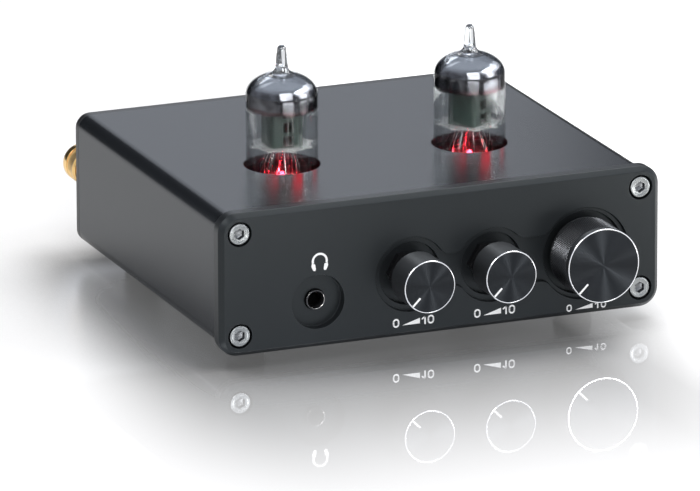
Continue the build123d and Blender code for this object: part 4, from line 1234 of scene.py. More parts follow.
class PREAMP_OT_ground_terminal(bpy.types.Operator):
    """Make the ground stud, its washer and its thumb nut"""

    bl_idname = "preamp.ground_terminal"
    bl_label = "Ground terminal"

    def execute(self, context):
        terminal = context.scene.preamp_terminal
        low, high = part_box("ground_stud")
        middle = centre_of("ground_stud")
        centre = (middle.x, 0.0, middle.z)
        washer_low, washer_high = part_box("ground_washer")
        nut_low, nut_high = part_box("ground_thumb_nut")
        stud = 2.0 * MM
        collar = 4.0 * MM
        profile = rounded_path([
            (0.0, low.y, 0.0), (stud, low.y, 0.3 * MM), (stud, REAR_FACE, 0.0),
            (collar, REAR_FACE, 0.1 * MM), (collar, washer_low.y, 0.3 * MM),
            (stud, washer_low.y, 0.0), (stud, high.y, 0.35 * MM), (0.0, high.y, 0.0),
        ], 4)
        piece_from(turned(profile, "Y", [centre], 64), "ground_post", "chassis", "gold_plate",
                   replaced=["ground_stud"])
        hole = stud + 0.05 * MM
        outer = (washer_high.x - washer_low.x) / 2
        profile = rounded_outline([
            (hole, washer_low.y, 0.05 * MM), (outer, washer_low.y, 0.15 * MM),
            (outer, washer_high.y, 0.15 * MM), (hole, washer_high.y, 0.05 * MM),
        ], 3)
        piece_from(turned(profile, "Y", [centre], 64, closed=True), "ground_ring",
                   "ground_slider", "gold_plate", replaced=["ground_washer"])
        outer = (nut_high.x - nut_low.x) / 2
        groove = nut_high.y - 2.7 * MM
        steps = terminal.nut_knurl_count * 4
        first, last = nut_low.y + 1.1 * MM, groove - 0.8 * MM
        core = outer - 1.3 * terminal.nut_knurl_depth
        bm = bmesh.new()
        profile = rounded_outline([
            (hole, nut_low.y, 0.05 * MM), (outer - 0.25 * MM, nut_low.y, 0.2 * MM),
            (outer - 0.25 * MM, nut_low.y + 0.7 * MM, 0.1 * MM),
            (outer, nut_low.y + 0.9 * MM, 0.1 * MM), (outer, first, 0.0), (core, first, 0.0),
            (core, last, 0.0), (outer, last, 0.0), (outer, groove - 0.6 * MM, 0.15 * MM),
            (outer - 0.5 * MM, groove - 0.6 * MM, 0.05 * MM),
            (outer - 0.5 * MM, groove, 0.05 * MM), (outer, groove, 0.15 * MM),
            (outer, nut_high.y, 0.5 * MM),
            (3.2 * MM, nut_high.y, 0.2 * MM), (2.9 * MM, nut_high.y - 0.3 * MM, 0.1 * MM),
            (hole, nut_high.y - 0.3 * MM, 0.1 * MM),
        ], 3)
        lathe(bm, profile, "Y", centre, steps, closed=True)
        cut_rings(bm, centre, outer, (first, last), terminal.nut_knurl_count,
                  terminal.nut_knurl_depth, steps)
        piece_from(bm, "ground_nut_knurled", "ground_nut", "gold_plate",
                   replaced=["ground_thumb_nut"])
        return {"FINISHED"}


def cut_rings(bm, centre, radius, span, count, depth, steps):
    """Straight ribs round the Y axis: a fluted sleeve set into a turned surface."""
    start, end = span
    rings = []
    for along, share in ((start, 0.0), (start + depth, 1.0), (end - depth, 1.0), (end, 0.0)):
        ring = []
        for k in range(steps):
            wave = 0.5 - 0.5 * math.cos(2 * math.pi * k * count / steps)
            r = radius - depth * wave * share
            angle = 2 * math.pi * k / steps
            ring.append(bm.verts.new((
                centre[0] + r * math.cos(angle), along, centre[2] + r * math.sin(angle))))
        rings.append(ring)
    for low, high in zip(rings, rings[1:]):
        bridge(bm, low, high)


# ------------------------------------------------------------------ tubes
PIN_CIRCLE = 4.765 * MM
PIN_LENGTH = 6.4 * MM
PIN_ANGLES = [math.radians(45 * k) for k in range(1, 8)]
DOME_START = 25.2 * MM
DOME_RISE = 5.8 * MM
GETTER_EDGE = 21.3 * MM
GETTER_SPREAD = 78.0


def bulb_profile(tube, seat):
    """The glass from its heel inside, up the outside to the tip, and back down the inside."""
    outer = tube.bulb_radius
    wall = tube.glass_wall
    stem = 7.8 * MM
    neck = 1.62 * MM
    tip = 38.1 * MM
    points = [(stem, 2.0 * MM), (stem, 0.25 * MM)]
    heel = outer - stem
    for step in range(1, 9):
        angle = math.radians(-90 + 90 * step / 8)
        points.append((stem + heel * math.cos(angle), 2.3 * MM + 2.05 * MM * math.sin(angle)))
    # The dome runs into the drawn tip through a hollow curve.
    flare = 4.6 * MM
    top = math.acos(flare / outer)
    for step in range(0, 19):
        angle = top * step / 18
        points.append((outer * math.cos(angle), DOME_START + DOME_RISE * math.sin(angle)))
    hip, level = points[-1]
    for step in range(1, 11):
        angle = math.radians(90 * step / 10)
        points.append((neck + (hip - neck) * (1.0 - math.sin(angle)),
                       level + 2.3 * MM * (1.0 - math.cos(angle)) * 0.9 + 0.23 * MM * step / 10))
    cap = 1.15 * MM
    points.append((1.38 * MM, 35.4 * MM))
    for step in range(0, 9):
        angle = math.radians(90 * step / 8)
        points.append((cap * math.cos(angle), tip - cap + cap * math.sin(angle)))
    inside = [(0.0, 33.2 * MM), (0.45 * MM, 33.0 * MM), (0.6 * MM, 32.4 * MM)]
    bore = math.acos(0.6 * MM / (outer - wall))
    for step in range(20, -1, -1):
        angle = bore * step / 20
        inside.append((
            (outer - wall) * math.cos(angle), DOME_START + (DOME_RISE - wall) * math.sin(angle)))
    inside.append((outer - wall, 3.4 * MM))
    inside.append((outer - wall - 0.15 * MM, 2.9 * MM))
    return [(r, z + seat) for r, z in points + inside]


def film_side(radius, rise, seat):
    """One side of the getter film: up the inside of the bulb and over its dome."""
    dome = seat + DOME_START
    points = [(radius, seat + GETTER_EDGE), (radius, seat + DOME_START * 0.97), (radius, dome)]
    for step in range(1, 19):
        angle = math.radians(GETTER_SPREAD) * step / 18
        points.append((radius * math.cos(angle), dome + rise * math.sin(angle)))
    return points


def local_frame(x, y, turn):
    """Moves a point given about a tube's own axis and turn to the frame."""
    spin = Matrix.Rotation(math.radians(turn), 3, "Z")

    def moved(px, py, pz):
        return Vector((x, y, 0.0)) + spin @ Vector((px, py, pz))

    return moved


def box_section(width, depth, corner, steps=5):
    half_x, half_y = width / 2, depth / 2
    return rounded_outline([
        (-half_x, -half_y, corner), (half_x, -half_y, corner), (half_x, half_y, corner),
        (-half_x, half_y, corner),
    ], steps)


class PREAMP_OT_tubes(bpy.types.Operator):
    """Make both tubes: glass, getter film, stem, pins, micas, plates and wires"""

    bl_idname = "preamp.tubes"
    bl_label = "Tubes"

    def execute(self, context):
        tube = context.scene.preamp_tube
        for side, turn in (("left", -10.0), ("right", 35.0)):
            self.make(tube, side, turn)
        return {"FINISHED"}

    def make(self, tube, side, turn):
        prefix = side + "_tube_"
        body = side + "_tube"
        middle = centre_of(prefix + "glass")
        x, y = middle.x, middle.y
        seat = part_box(prefix + "stem")[0].z
        moved = local_frame(x, y, turn)
        mounted = local_frame(x, y, turn + (9.0 if side == "left" else 0.0))

        # The glass of the drawn tip begins where the dome ends, and stops at the inner face.
        bands = (0,) * 30 + (1,) * 22 + (0,)
        bm = turned(bulb_profile(tube, seat), "Z", [(x, y, 0.0)], 96, bands, True)
        piece_from(bm, side + "_bulb", body, "tube_glass", ["tube_glass", "tip_glass"],
                   [prefix + "glass"], sharp=60.0, weighted=False)

        inner = tube.bulb_radius - tube.glass_wall
        rise = DOME_RISE - tube.glass_wall
        # The film lies in the wall, a hair above its inner face, so that no air parts them.
        outside, inside = (
            film_side(inner + depth * MM, rise + depth * MM, seat) for depth in (0.06, 0.02)
        )
        bm = turned(outside + inside[::-1], "Z", [(x, y, 0.0)], 96, closed=True)
        piece_from(bm, side + "_getter_film", body, "getter_mirror", replaced=[prefix + "getter"],
                   sharp=60.0, weighted=False)

        bm = bmesh.new()
        profile = rounded_path([
            (0.0, seat, 0.0), (7.75 * MM, seat, 0.0), (7.75 * MM, seat + 1.9 * MM, 0.3 * MM),
            (6.2 * MM, seat + 2.3 * MM, 0.3 * MM), (2.2 * MM, seat + 2.1 * MM, 0.3 * MM),
            (0.0, seat + 2.0 * MM, 0.0),
        ], 4)
        lathe(bm, profile, "Z", (x, y, 0.0), 64)
        for angle in PIN_ANGLES:
            centre = moved(PIN_CIRCLE * math.cos(angle), PIN_CIRCLE * math.sin(angle), 0.0)
            bead = rounded_path([
                (0.0, seat + 1.6 * MM, 0.0), (1.05 * MM, seat + 1.6 * MM, 0.0),
                (0.75 * MM, seat + 2.9 * MM, 0.4 * MM), (0.0, seat + 3.2 * MM, 0.0),
            ], 4)
            lathe(bm, bead, "Z", centre, 20)
        piece_from(bm, side + "_button_stem", body, "tube_glass", ["stem_glass"],
                   [prefix + "stem"], sharp=60.0, weighted=False)

        bm = bmesh.new()
        mica_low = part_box(prefix + "micas")[0].z
        for k, angle in enumerate(PIN_ANGLES, 1):
            px, py = PIN_CIRCLE * math.cos(angle), PIN_CIRCLE * math.sin(angle)
            pin = rounded_path([
                (0.0, seat - PIN_LENGTH, 0.0), (0.5 * MM, seat - PIN_LENGTH, 0.28 * MM),
                (0.5 * MM, seat + 1.2 * MM, 0.1 * MM), (0.0, seat + 1.3 * MM, 0.0),
            ], 3)
            lathe(bm, pin, "Z", moved(px, py, 0.0), 20)
            inward = 0.62 + 0.12 * (k % 3)
            wire(bm, [
                moved(px, py, seat + 1.0 * MM), moved(px, py, seat + 3.6 * MM),
                moved(px * 0.97, py * 0.97, seat + 4.6 * MM),
                moved(px * (inward + 0.2), py * (inward + 0.2), seat + 7.0 * MM),
                moved(px * inward, py * inward, seat + 9.6 * MM),
                moved(px * inward, py * inward, mica_low + 0.1 * MM),
            ], 0.12 * MM, 8)
            # The tab by which a lead is welded to its pin.
            tab = box_section(1.0 * MM, 0.25 * MM, 0.08 * MM, 2)
            facing = Matrix.Rotation(angle + math.radians(turn + 40 * (k % 3)), 2)
            prism(bm, [facing @ point for point in tab], "Z", seat + 2.9 * MM, seat + 4.2 * MM,
                  moved(px * 0.98, py * 0.98, 0.0), 1)
        piece_from(bm, side + "_pins_and_leads", body, "electrode_wire",
                   ["electrode_wire", "bright_nickel"], [prefix + "pins"], weighted=False)
        self.make_mount(tube, side, prefix, body, mounted, seat)

    def make_mount(self, tube, side, prefix, body, moved, seat):
        """Micas, plates, rods, grids and the getter's holder."""
        low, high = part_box(prefix + "micas")
        thick = 0.25 * MM
        bm = bmesh.new()
        for level in (low.z, high.z - thick):
            outline = []
            for k, angle in enumerate(angles(96)):
                tooth = abs((k + 6) % 12 - 6) <= 1
                r = 8.2 * MM if tooth else 7.25 * MM
                outline.append(moved(r * math.cos(angle), r * math.sin(angle), 0.0))
            lower = [bm.verts.new(Vector((p.x, p.y, level))) for p in outline]
            upper = [bm.verts.new(Vector((p.x, p.y, level + thick))) for p in outline]
            bridge(bm, lower, upper)
            bm.faces.new(lower)
            bm.faces.new(upper)
        piece_from(bm, side + "_micas", body, "mica", replaced=[prefix + "micas"],
                   weighted=False, sharp=20.0)

        # The plate: a folded box with three windows in each broad face and a crimped seam.
        bottom = low.z + thick
        top = high.z - thick
        width, depth, wall = 8.8 * MM, 8.4 * MM, 0.25 * MM
        window, opening, pitch = 2.9 * MM, 2.5 * MM, 3.6 * MM
        middle = (bottom + top) / 2
        cuts = sorted([bottom, top] + [
            middle + row * pitch + side_z * opening / 2 for row in (-1, 0, 1) for side_z in (-1, 1)
        ])
        bm = bmesh.new()
        corner = 1.2 * MM
        outer = box_section(width, depth, corner)
        inner = box_section(width - 2 * wall, depth - 2 * wall, corner - wall)
        extra = []
        for point_list, half_y in ((outer, depth / 2), (inner, depth / 2 - wall)):
            full = []
            for index, point in enumerate(point_list):
                full.append(point)
                following = point_list[(index + 1) % len(point_list)]
                if abs(point.y - following.y) < 1e-9 and abs(abs(point.y) - half_y) < 1e-9:
                    order = (-1, 1) if following.x > point.x else (1, -1)
                    full += [Vector((o * window / 2, point.y)) for o in order]
            extra.append(full)
        outer, inner = extra
        count = len(outer)
        layers = []
        for level in cuts:
            layers.append((
                [bm.verts.new(moved(p.x, p.y, level)) for p in outer],
                [bm.verts.new(moved(p.x, p.y, level)) for p in inner],
            ))

        def in_window(row, index):
            first, second = outer[index], outer[(index + 1) % count]
            across = abs(first.x + second.x) < 1e-9 and abs(first.x) <= window / 2 + 1e-9
            return row in (1, 3, 5) and across and abs(first.y - second.y) < 1e-9

        for row in range(len(cuts) - 1):
            low_out, low_in = layers[row]
            high_out, high_in = layers[row + 1]
            for index in range(count):
                following = (index + 1) % count
                if in_window(row, index):
                    for a, b in ((low_out, low_in), (high_out, high_in)):
                        bm.faces.new((a[index], a[following], b[following], b[index]))
                    for k in (index, following):
                        bm.faces.new((low_out[k], high_out[k], high_in[k], low_in[k]))
                    continue
                for a, b in ((low_out, high_out), (low_in, high_in)):
                    bm.faces.new((a[index], a[following], b[following], b[index]))
        for out, within in (layers[0], layers[-1]):
            for index in range(count):
                following = (index + 1) % count
                bm.faces.new((out[index], out[following], within[following], within[index]))
        piece_from(bm, side + "_plate_box", body, "plate_metal", replaced=[prefix + "plate"],
                   weighted=False, sharp=25.0)

        # Rods, cathode sleeve and the two grids' windings.
        rod_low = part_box(prefix + "electrodes")[0].z
        rod_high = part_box(prefix + "electrodes")[1].z
        bm = bmesh.new()
        for px, radius in ((-2.2, 0.4), (2.2, 0.4), (0.0, 0.9)):
            profile = rounded_path([
                (0.0, rod_low, 0.0), (radius * MM, rod_low, 0.1 * MM),
                (radius * MM, rod_high, 0.1 * MM), (0.0, rod_high, 0.0),
            ], 3)
            lathe(bm, profile, "Z", moved(px * MM, 0.0, 0.0), 24)
        turns = 26
        helix = []
        for step in range(turns * 16 + 1):
            angle = 2 * math.pi * step / 16
            level = bottom + 0.5 * MM + (top - bottom - 1.0 * MM) * step / (turns * 16)
            helix.append(moved(2.5 * MM * math.cos(angle), 1.6 * MM * math.sin(angle), level))
        wire(bm, helix, tube.wire_radius, 5)
        piece_from(bm, side + "_rods_and_grid", body, "electrode_wire", ["rod_grey"],
                   [prefix + "electrodes"], weighted=False)

        # The getter's ring and its two legs, above the upper mica.
        bm = bmesh.new()
        ring_level = high.z + 1.9 * MM
        ring = [
            moved(2.1 * MM * math.cos(a), 2.1 * MM * math.sin(a), ring_level)
            for a in (math.radians(-150 + 300 * k / 24) for k in range(25))
        ]
        wire(bm, ring, 0.35 * MM, 8)
        wire(bm, [moved(1.9 * MM, 0.4 * MM, high.z), moved(2.1 * MM, 0.3 * MM, ring_level)],
             0.18 * MM, 6)
        piece_from(bm, side + "_getter_ring", body, "electrode_wire", weighted=False)

        # Two straight leads that stand in front of the plate, from the stem to the upper mica.
        bm = bmesh.new()
        for px, py in ((-0.5, -5.6), (0.7, -5.7)):
            wire(bm, [
                moved(px * MM, -4.6 * MM, seat + 3.0 * MM),
                moved(px * MM, py * MM, seat + 7.5 * MM),
                moved(px * MM, py * MM, low.z), moved(px * MM, py * MM, high.z + 0.3 * MM),
                moved(px * MM * 0.6, -2.4 * MM, ring_level),
            ], 0.06 * MM, 6)
        piece_from(bm, side + "_front_leads", body, "electrode_wire", weighted=False)


class PREAMP_OT_lamps(bpy.types.Operator):
    """Make the red lamps under the tubes and their light"""

    bl_idname = "preamp.lamps"
    bl_label = "Lamps"

    def execute(self, context):
        tube = context.scene.preamp_tube
        low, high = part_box("tube_lamps")
        radius = 1.5 * MM
        base = high.z - 5.4 * MM
        bm = bmesh.new()
        for side in ("left", "right"):
            middle = centre_of(side + "_tube_glass")
            centre = (middle.x, middle.y, 0.0)
            profile = rounded_path([
                (0.0, base, 0.0), (radius, base, 0.15 * MM), (radius, high.z, 1.3 * MM),
                (0.0, high.z, 0.0),
            ], 8)
            lathe(bm, profile, "Z", centre, 32)
            for px in (-1.0, 1.0):
                wire(bm, [
                    (middle.x + px * MM, middle.y, low.z),
                    (middle.x + px * MM, middle.y, base + 0.2 * MM),
                ], 0.25 * MM, 8)
            light = bpy.data.lights.new(side + "_lamp_light", "POINT")
            light.energy = tube.lamp_power
            light.color = tube.lamp_color
            light.shadow_soft_size = 0.9 * MM
            lamp = bpy.data.objects.new(light.name, light)
            lamp.location = (middle.x, middle.y, high.z + 3.2 * MM)
            context.scene.collection.objects.link(lamp)
        piece_from(bm, "tube_lamp_pair", "chassis", "lamp_red", replaced=["tube_lamps"],
                   weighted=False, sharp=50.0)
        return {"FINISHED"}


class PREAMP_OT_inside(bpy.types.Operator):
    """Dress the boards, controls and parts inside the case"""

    bl_idname = "preamp.inside"
    bl_label = "Inside"

    def execute(self, context):
        special = {"pot_nuts": "nut_black"}
        for node, piece in frame["nodes"].items():
            piece.data.materials.clear()
            piece.data.materials.append(FINISHES[special.get(node, SLOT_OF[node])])
        piece_from(broken_edges("tube_sockets", 0.2 * MM), "ceramic_sockets", "chassis",
                   "socket_ceramic", replaced=["tube_sockets"])
        return {"FINISHED"}


# ------------------------------------------------------------------ stage
TUBE_AXIS_Y = -0.0106
TUBE_MIDDLE = Vector((0.0, TUBE_AXIS_Y, 0.065))
KNOB_MIDDLE = Vector((0.015, FRONT_FACE, 0.02))
WINDOW_DISTANCE = 1.2
KNOB_LAMP_DISTANCE = 0.8
KNOB_LAMP_SIZE = 0.12
GLOW_HEIGHT = 9.0 * MM
FLOOR_HALF = 6.0
POLISH_BEHIND = 0.045
WHITE = (1.0, 1.0, 1.0)


def arc_points(x, radius, degrees):
    """Points on the table round the tubes' line, by their angle from the front."""
    return [
        (x + radius * math.sin(math.radians(a)), TUBE_AXIS_Y - radius * math.cos(math.radians(a)))
        for a in degrees
    ]


def area_light(name, place, target, width, height, radiance):
    """A softbox of a given radiance, aimed at a point."""
    light = bpy.data.lights.new(name, "AREA")
    light.shape = "RECTANGLE"
    light.size = width
    light.size_y = height
    light.energy = radiance * math.pi * width * height
    lamp = bpy.data.objects.new(name, light)
    lamp.location = place
    aim = Vector(target) - Vector(place)
    lamp.rotation_euler = aim.to_track_quat("-Z", "Y").to_euler()
    bpy.context.scene.collection.objects.link(lamp)
    return lamp


def link_lamp(lamp, pieces, state):
    """Lets a lamp light only these pieces (INCLUDE), or all but these (EXCLUDE)."""
    chosen = bpy.data.collections.new(lamp.name)
    for piece in pieces:
        chosen.objects.link(bpy.data.objects[piece])
    lamp.light_linking.receiver_collection = chosen
    for member in chosen.collection_objects:
        member.light_linking.link_state = state


def stage_card(bm, name, material):
    """A card of the stage that only gloss sees."""
    mesh = bpy.data.meshes.new(name)
    bm.to_mesh(mesh)
    bm.free()
    mesh.materials.append(material)
    card = bpy.data.objects.new(name, mesh)
    card.visible_camera = False
    card.visible_diffuse = False
    card.visible_transmission = False
    card.visible_shadow = False
    bpy.context.scene.collection.objects.link(card)
    return card


def flag(name, place, width, height, lying=False):
    """A dark card that only the gloss of the case sees, as beside the table in a studio."""
    bm = bmesh.new()
    corners = ((-0.5, -0.5), (0.5, -0.5), (0.5, 0.5), (-0.5, 0.5))
    bm.faces.new([bm.verts.new((x * width, 0.0, z * height)) for x, z in corners])
    material, w = new_material(name)
    felt = w.noise(w.place(), 400.0, 2.0)
    shade = w.ramp(felt, 0.3, 0.7, 0.02, 0.05)
    finish_output(w, w.add("ShaderNodeBsdfDiffuse", {"Color": shade}))
    card = stage_card(bm, name, material)
    card.location = place
    tilt = math.radians(90.0) if lying else 0.0
    card.rotation_euler = (tilt, 0.0, 0.0 if lying else math.atan2(-place[0], place[1]))


class PREAMP_OT_stage(bpy.types.Operator):
    """Make the camera, the floor, the world and the lights"""

    bl_idname = "preamp.stage"
    bl_label = "Stage"

    def execute(self, context):
        stage = context.scene.preamp_stage
        self.make_camera(context, stage)
        self.make_floor(context, stage)
        self.make_world(context, stage)
        tubes = [side + part for side in ("left", "right") for part in ("_bulb", "_getter_film")]
        for name, place, width, height, radiance in (
            ("overhead softbox", (0.45, 0.15, 1.2), 0.8, 0.8, stage.key),
            ("left softbox", (-0.95, -0.55, 1.05), 0.45, 0.6, 5.0),
            ("front pane", (-0.31, -1.46, 0.50), 0.5, 0.7, 4.0),
            ("right pane", (1.15, -0.96, 0.50), 0.5, 0.7, 4.0),
            ("upper bar", (0.30, -0.75, 1.05), 0.5, 0.25, 3.0),
        ):
            lamp = area_light(name, place, (0.0, 0.0, 0.04), width, height, radiance)
            link_lamp(lamp, tubes, "EXCLUDE")
        self.windows(tubes)
        self.knob_lights()
        flag("left flag", (-0.17, 0.46, 0.20), 0.36, 0.46)
        flag("right flag", (0.64, 0.60, 0.22), 0.62, 0.50)
        flag("table flag", (0.08, -0.335, 0.001), 1.10, 0.28, lying=True)
        self.painted_red_reflection_cards(context)
        context.scene.view_settings.view_transform = "Standard"
        return {"FINISHED"}

    def windows(self, pieces):
        """Panes that show only in the tubes, each from its own direction."""
        for name, aim, width, height, radiance in (
            ("front window", (-0.123, -0.874, 0.469), 0.80, 1.10, 13.0),
            ("right window", (0.705, -0.531, 0.469), 0.62, 1.10, 13.0),
            ("shoulder window", (0.842, 0.029, 0.538), 0.60, 0.50, 6.0),
            ("back window", (-0.090, 0.826, 0.556), 0.50, 0.30, 6.0),
        ):
            place = Vector(aim) * WINDOW_DISTANCE + TUBE_MIDDLE
            window = area_light(name, place, TUBE_MIDDLE, width, height, radiance)
            link_lamp(window, pieces, "INCLUDE")
        # The same panes' lower parts, as the tubes' straight walls mirror them off the table.
        material, w = new_material("table_pane")
        cloud = w.noise(w.place(), 30.0, 2.0)
        finish_output(w, w.add("ShaderNodeEmission", {
            "Color": WHITE, "Strength": w.ramp(cloud, 0.3, 0.7, 11.0, 13.0)}))
        turns = (35, 46, 57, 68, 79)
        front = [(-0.105, -0.226), (0.045, -0.226), (0.045, -0.34), (-0.105, -0.34)]
        side = arc_points(-0.026, 0.217, turns) + arc_points(0.026, 0.26, turns[::-1])
        for name, outline in (("front pane card", front), ("right pane card", side)):
            bm = bmesh.new()
            bm.faces.new([bm.verts.new((x, y, 0.002)) for x, y in outline])
            stage_card(bm, name, material)

    def knob_lights(self):
        """Small lamps: in front for fans of light on the spun faces, above for the sides."""
        tone = ["treble_dial", "bass_dial"]
        for name, pieces, aim, radiance in (
            ("tone fan left", tone, (0.205, -0.934, 0.293), 44.0),
            ("tone fan right", tone, (0.746, -0.643, 0.172), 44.0),
            ("volume fan upright", ["volume_dial"], (0.360, -0.879, 0.313), 52.0),
            ("volume fan left", ["volume_dial"], (-0.073, -0.997, 0.06), 44.0),
            ("tone side", tone, (-0.150, 0.050, 0.985), 150.0),
            ("knurl", ["volume_dial"], (-0.150, 0.000, 0.989), 160.0),
        ):
            place = Vector(aim) * KNOB_LAMP_DISTANCE + KNOB_MIDDLE
            lamp = area_light(name, place, KNOB_MIDDLE, KNOB_LAMP_SIZE, KNOB_LAMP_SIZE, radiance)
            link_lamp(lamp, pieces, "INCLUDE")

    def painted_red_reflection_cards(self, context):
        """Painted reflection: a red glowing sleeve round the foot of each tube, seen only by
        gloss, puts the lamps' red light into the case's top.
        """
        tube = context.scene.preamp_tube
        material, w = new_material("lamp_glow")
        place = w.place()
        parts = w.add("ShaderNodeSeparateXYZ", {0: place}).outputs
        fade = w.ramp(parts["Z"], 0.0, GLOW_HEIGHT, 1.0, 0.0)
        stretched = w.add(
            "ShaderNodeVectorMath", {0: place, 1: (1.0, 1.0, 0.15)}, operation="MULTIPLY"
        ).outputs[0]
        streaks = w.ramp(w.noise(stretched, 190.0, 2.0), 0.40, 0.60)
        across = w.math("ABSOLUTE", parts["X"])
        inward = w.ramp(across, 0.45 * tube.bulb_radius, 0.85 * tube.bulb_radius, 1.0, 0.0)
        # The sleeve's red emission fades upwards and towards the sides, in streaks: the painted
        # reflection.
        glow = w.add("ShaderNodeEmission", {"Color": tube.lamp_color, "Strength": 2.6})
        clear = w.add("ShaderNodeBsdfTransparent")
        behind = w.add("ShaderNodeNewGeometry").outputs["Backfacing"]
        shown = w.math("MULTIPLY", fade, streaks)
        shown = w.math("MULTIPLY", shown, w.math("SUBTRACT", 1.0, behind))
        shown = w.math("MULTIPLY", shown, inward)
        finish_output(w, w.add(
            "ShaderNodeMixShader", {0: shown, 1: clear.outputs[0], 2: glow.outputs[0]}))
        for side in ("left", "right"):
            middle = centre_of(side + "_tube_glass")
            bm = bmesh.new()
            radius = tube.bulb_radius + 0.1 * MM
            lathe(bm, [(radius, 0.1 * MM), (radius, GLOW_HEIGHT)], "Z", (0.0, 0.0, 0.0), 64)
            bmesh.ops.recalc_face_normals(bm, faces=bm.faces)
            card = stage_card(bm, side + " glow card", material)
            card.location = (middle.x, middle.y, SLEEVE_HIGH.z)

    def make_camera(self, context, stage):
        data = bpy.data.cameras.new("camera")
        data.sensor_width = 36.0
        data.lens = stage.lens
        data.clip_start = 0.1
        data.clip_end = 50.0
        camera = bpy.data.objects.new("camera", data)
        yaw, pitch = stage.azimuth, stage.elevation
        forward = Vector((
            math.sin(yaw) * math.cos(pitch), math.cos(yaw) * math.cos(pitch), -math.sin(pitch)
        ))
        right = Vector((math.cos(yaw), -math.sin(yaw), 0.0))
        up = right.cross(forward)
        turn = Matrix.Rotation(-stage.roll, 3, forward)
        right, up = turn @ right, turn @ up
        target = Vector((-0.00397, FRONT_FACE + 0.051625, 0.01243))
        place = target - forward * stage.distance
        camera.matrix_world = Matrix((
            (right.x, up.x, -forward.x, place.x),
            (right.y, up.y, -forward.y, place.y),
            (right.z, up.z, -forward.z, place.z),
            (0.0, 0.0, 0.0, 1.0),
        ))
        context.scene.collection.objects.link(camera)
        context.scene.camera = camera

    def make_floor(self, context, stage):
        bm = bmesh.new()
        bm.faces.new([
            bm.verts.new((x * FLOOR_HALF, y * FLOOR_HALF, 0.0))
            for x, y in ((-1, -1), (1, -1), (1, 1), (-1, 1))
        ])
        mesh = bpy.data.meshes.new("floor")
        bm.to_mesh(mesh)
        bm.free()
        material, w = new_material("floor_gloss_white")
        place = w.place()
        toned = w.toned(place, stage.floor_color, 3.0, 0.004)
        # Contact shadow: the floor's own colour darkens under and beside the object.
        sheltered = w.add("ShaderNodeAmbientOcclusion", {"Distance": 0.07}, samples=16)
        open_sky = w.ramp(sheltered.outputs["AO"], 0.30, 0.99)
        shaded = w.mix(open_sky, (0.22, 0.223, 0.23), toned)
        matt = w.add("ShaderNodeBsdfDiffuse", {"Color": shaded})
        # The polish shows beside the object and fades away from it, as on a dusted acrylic sheet.
        parts = w.add("ShaderNodeSeparateXYZ", {0: place}).outputs
        left = w.math("MAXIMUM", w.math("SUBTRACT", PANEL_LOW.x, parts["X"]), 0.0)
        spread = w.math("MULTIPLY_ADD", parts["Y"], -0.32, stage.polish_left)
        wide = w.math("DIVIDE", left, w.math("MAXIMUM", spread, 0.010))
        before = w.math("MAXIMUM", w.math("SUBTRACT", FRONT_FACE, parts["Y"]), 0.0)
        behind = w.math("MAXIMUM", w.math("SUBTRACT", parts["Y"], 0.010), 0.0)
        ahead = w.math("DIVIDE", before, stage.polish_ahead)
        deep = w.math("MULTIPLY_ADD", behind, 1.0 / POLISH_BEHIND, ahead)
        away = w.math("SQRT", w.math("MULTIPLY_ADD", wide, wide, w.math("MULTIPLY", deep, deep)))
        right_side = w.ramp(
            parts["X"], PANEL_HIGH.x - 0.032, PANEL_HIGH.x + 0.008, 1.0, 0.0, smooth=False
        )
        polish = w.math("MULTIPLY", w.ramp(away, 0.0, 1.0, 0.80, 0.0), right_side)
        # Buffed to a mirror in front, left satin beside the case.
        rough = w.ramp(parts["Y"], FRONT_FACE - 0.002, FRONT_FACE + 0.012, 0.02, 0.24)
        gloss = w.add("ShaderNodeBsdfGlossy", {"Color": (0.96, 0.96, 0.97), "Roughness": rough})
        polished = w.add(
            "ShaderNodeMixShader", {0: polish, 1: matt.outputs[0], 2: gloss.outputs[0]})
        # Painted light: camera-seen emission lifts the floor to white, more at the right to paint
        # out the shadow that the lamps cast there, and less near the object, where the ambient
        # occlusion paints shade.
        painted_fill_right = w.math("MULTIPLY", w.math("SUBTRACT", 1.0, right_side), 0.60)
        sky = w.math("MULTIPLY", w.math("MAXIMUM", open_sky, 0.42), 0.22)
        lift = w.math("MULTIPLY", w.seen_rays()[1], w.math("MAXIMUM", painted_fill_right, sky))
        glow = w.add("ShaderNodeEmission", {"Color": WHITE, "Strength": lift})
        both = w.add("ShaderNodeAddShader", {0: polished.outputs[0], 1: glow.outputs[0]})
        finish_output(w, both)
        mesh.materials.append(material)
        floor = bpy.data.objects.new("floor", mesh)
        context.scene.collection.objects.link(floor)

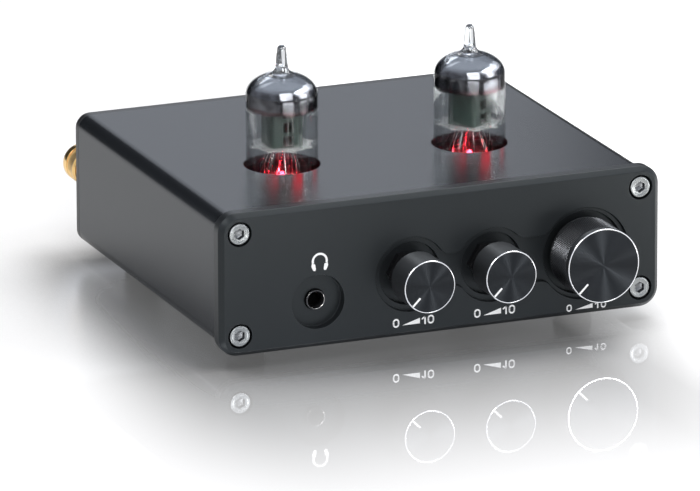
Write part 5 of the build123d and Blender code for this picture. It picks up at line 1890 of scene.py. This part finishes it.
    def make_world(self, context, stage):
        world = bpy.data.worlds.new("studio")
        world.use_nodes = True
        w = Wiring(world.node_tree)
        path, seen = w.seen_rays()
        white = w.ramp(seen, 0.0, 1.0, stage.fill, 1.0, smooth=False)
        tint = w.mix(path["Is Glossy Ray"], WHITE, (0.915, 0.96, 1.05))
        background = w.add("ShaderNodeBackground", {"Color": tint, "Strength": white})
        w.add("ShaderNodeOutputWorld", {"Surface": background.outputs[0]})
        context.scene.world = world


# ------------------------------------------------------------------ panel and registration
BUILD_ORDER = (
    "inside", "case", "screws", "feet", "knobs", "headphone_socket", "prints", "rear_sockets",
    "ground_terminal", "tubes", "lamps", "stage",
)


class PREAMP_PT_sidebar(bpy.types.Panel):
    """Lists the pieces in the order they are built"""

    bl_idname = "PREAMP_PT_sidebar"
    bl_label = "Tube Phono Preamplifier"
    bl_space_type = "VIEW_3D"
    bl_region_type = "UI"
    bl_category = "Preamp"

    def draw(self, context):
        for name in SETTINGS:
            settings = getattr(context.scene, name)
            box = self.layout.box()
            for key in settings.__annotations__:
                box.prop(settings, key)
        for name in BUILD_ORDER:
            self.layout.operator("preamp." + name)


SETTINGS = {
    "preamp_case": PreampCaseSettings,
    "preamp_control": PreampControlSettings,
    "preamp_tube": PreampTubeSettings,
    "preamp_terminal": PreampTerminalSettings,
    "preamp_stage": PreampStageSettings,
}
CLASSES = tuple(SETTINGS.values()) + (
    PREAMP_OT_inside, PREAMP_OT_case, PREAMP_OT_screws, PREAMP_OT_feet, PREAMP_OT_knobs,
    PREAMP_OT_headphone_socket, PREAMP_OT_prints, PREAMP_OT_rear_sockets,
    PREAMP_OT_ground_terminal, PREAMP_OT_tubes, PREAMP_OT_lamps, PREAMP_OT_stage,
    PREAMP_PT_sidebar,
)


def register():
    for cls in CLASSES:
        bpy.utils.register_class(cls)
    for name, cls in SETTINGS.items():
        setattr(bpy.types.Scene, name, PointerProperty(type=cls))


def unregister():
    for name in SETTINGS:
        delattr(bpy.types.Scene, name)
    for cls in reversed(CLASSES):
        bpy.utils.unregister_class(cls)


def main():
    register()
    make_finishes(bpy.context)
    for name in BUILD_ORDER:
        getattr(bpy.ops.preamp, name)()


if __name__ == "__main__":
    main()
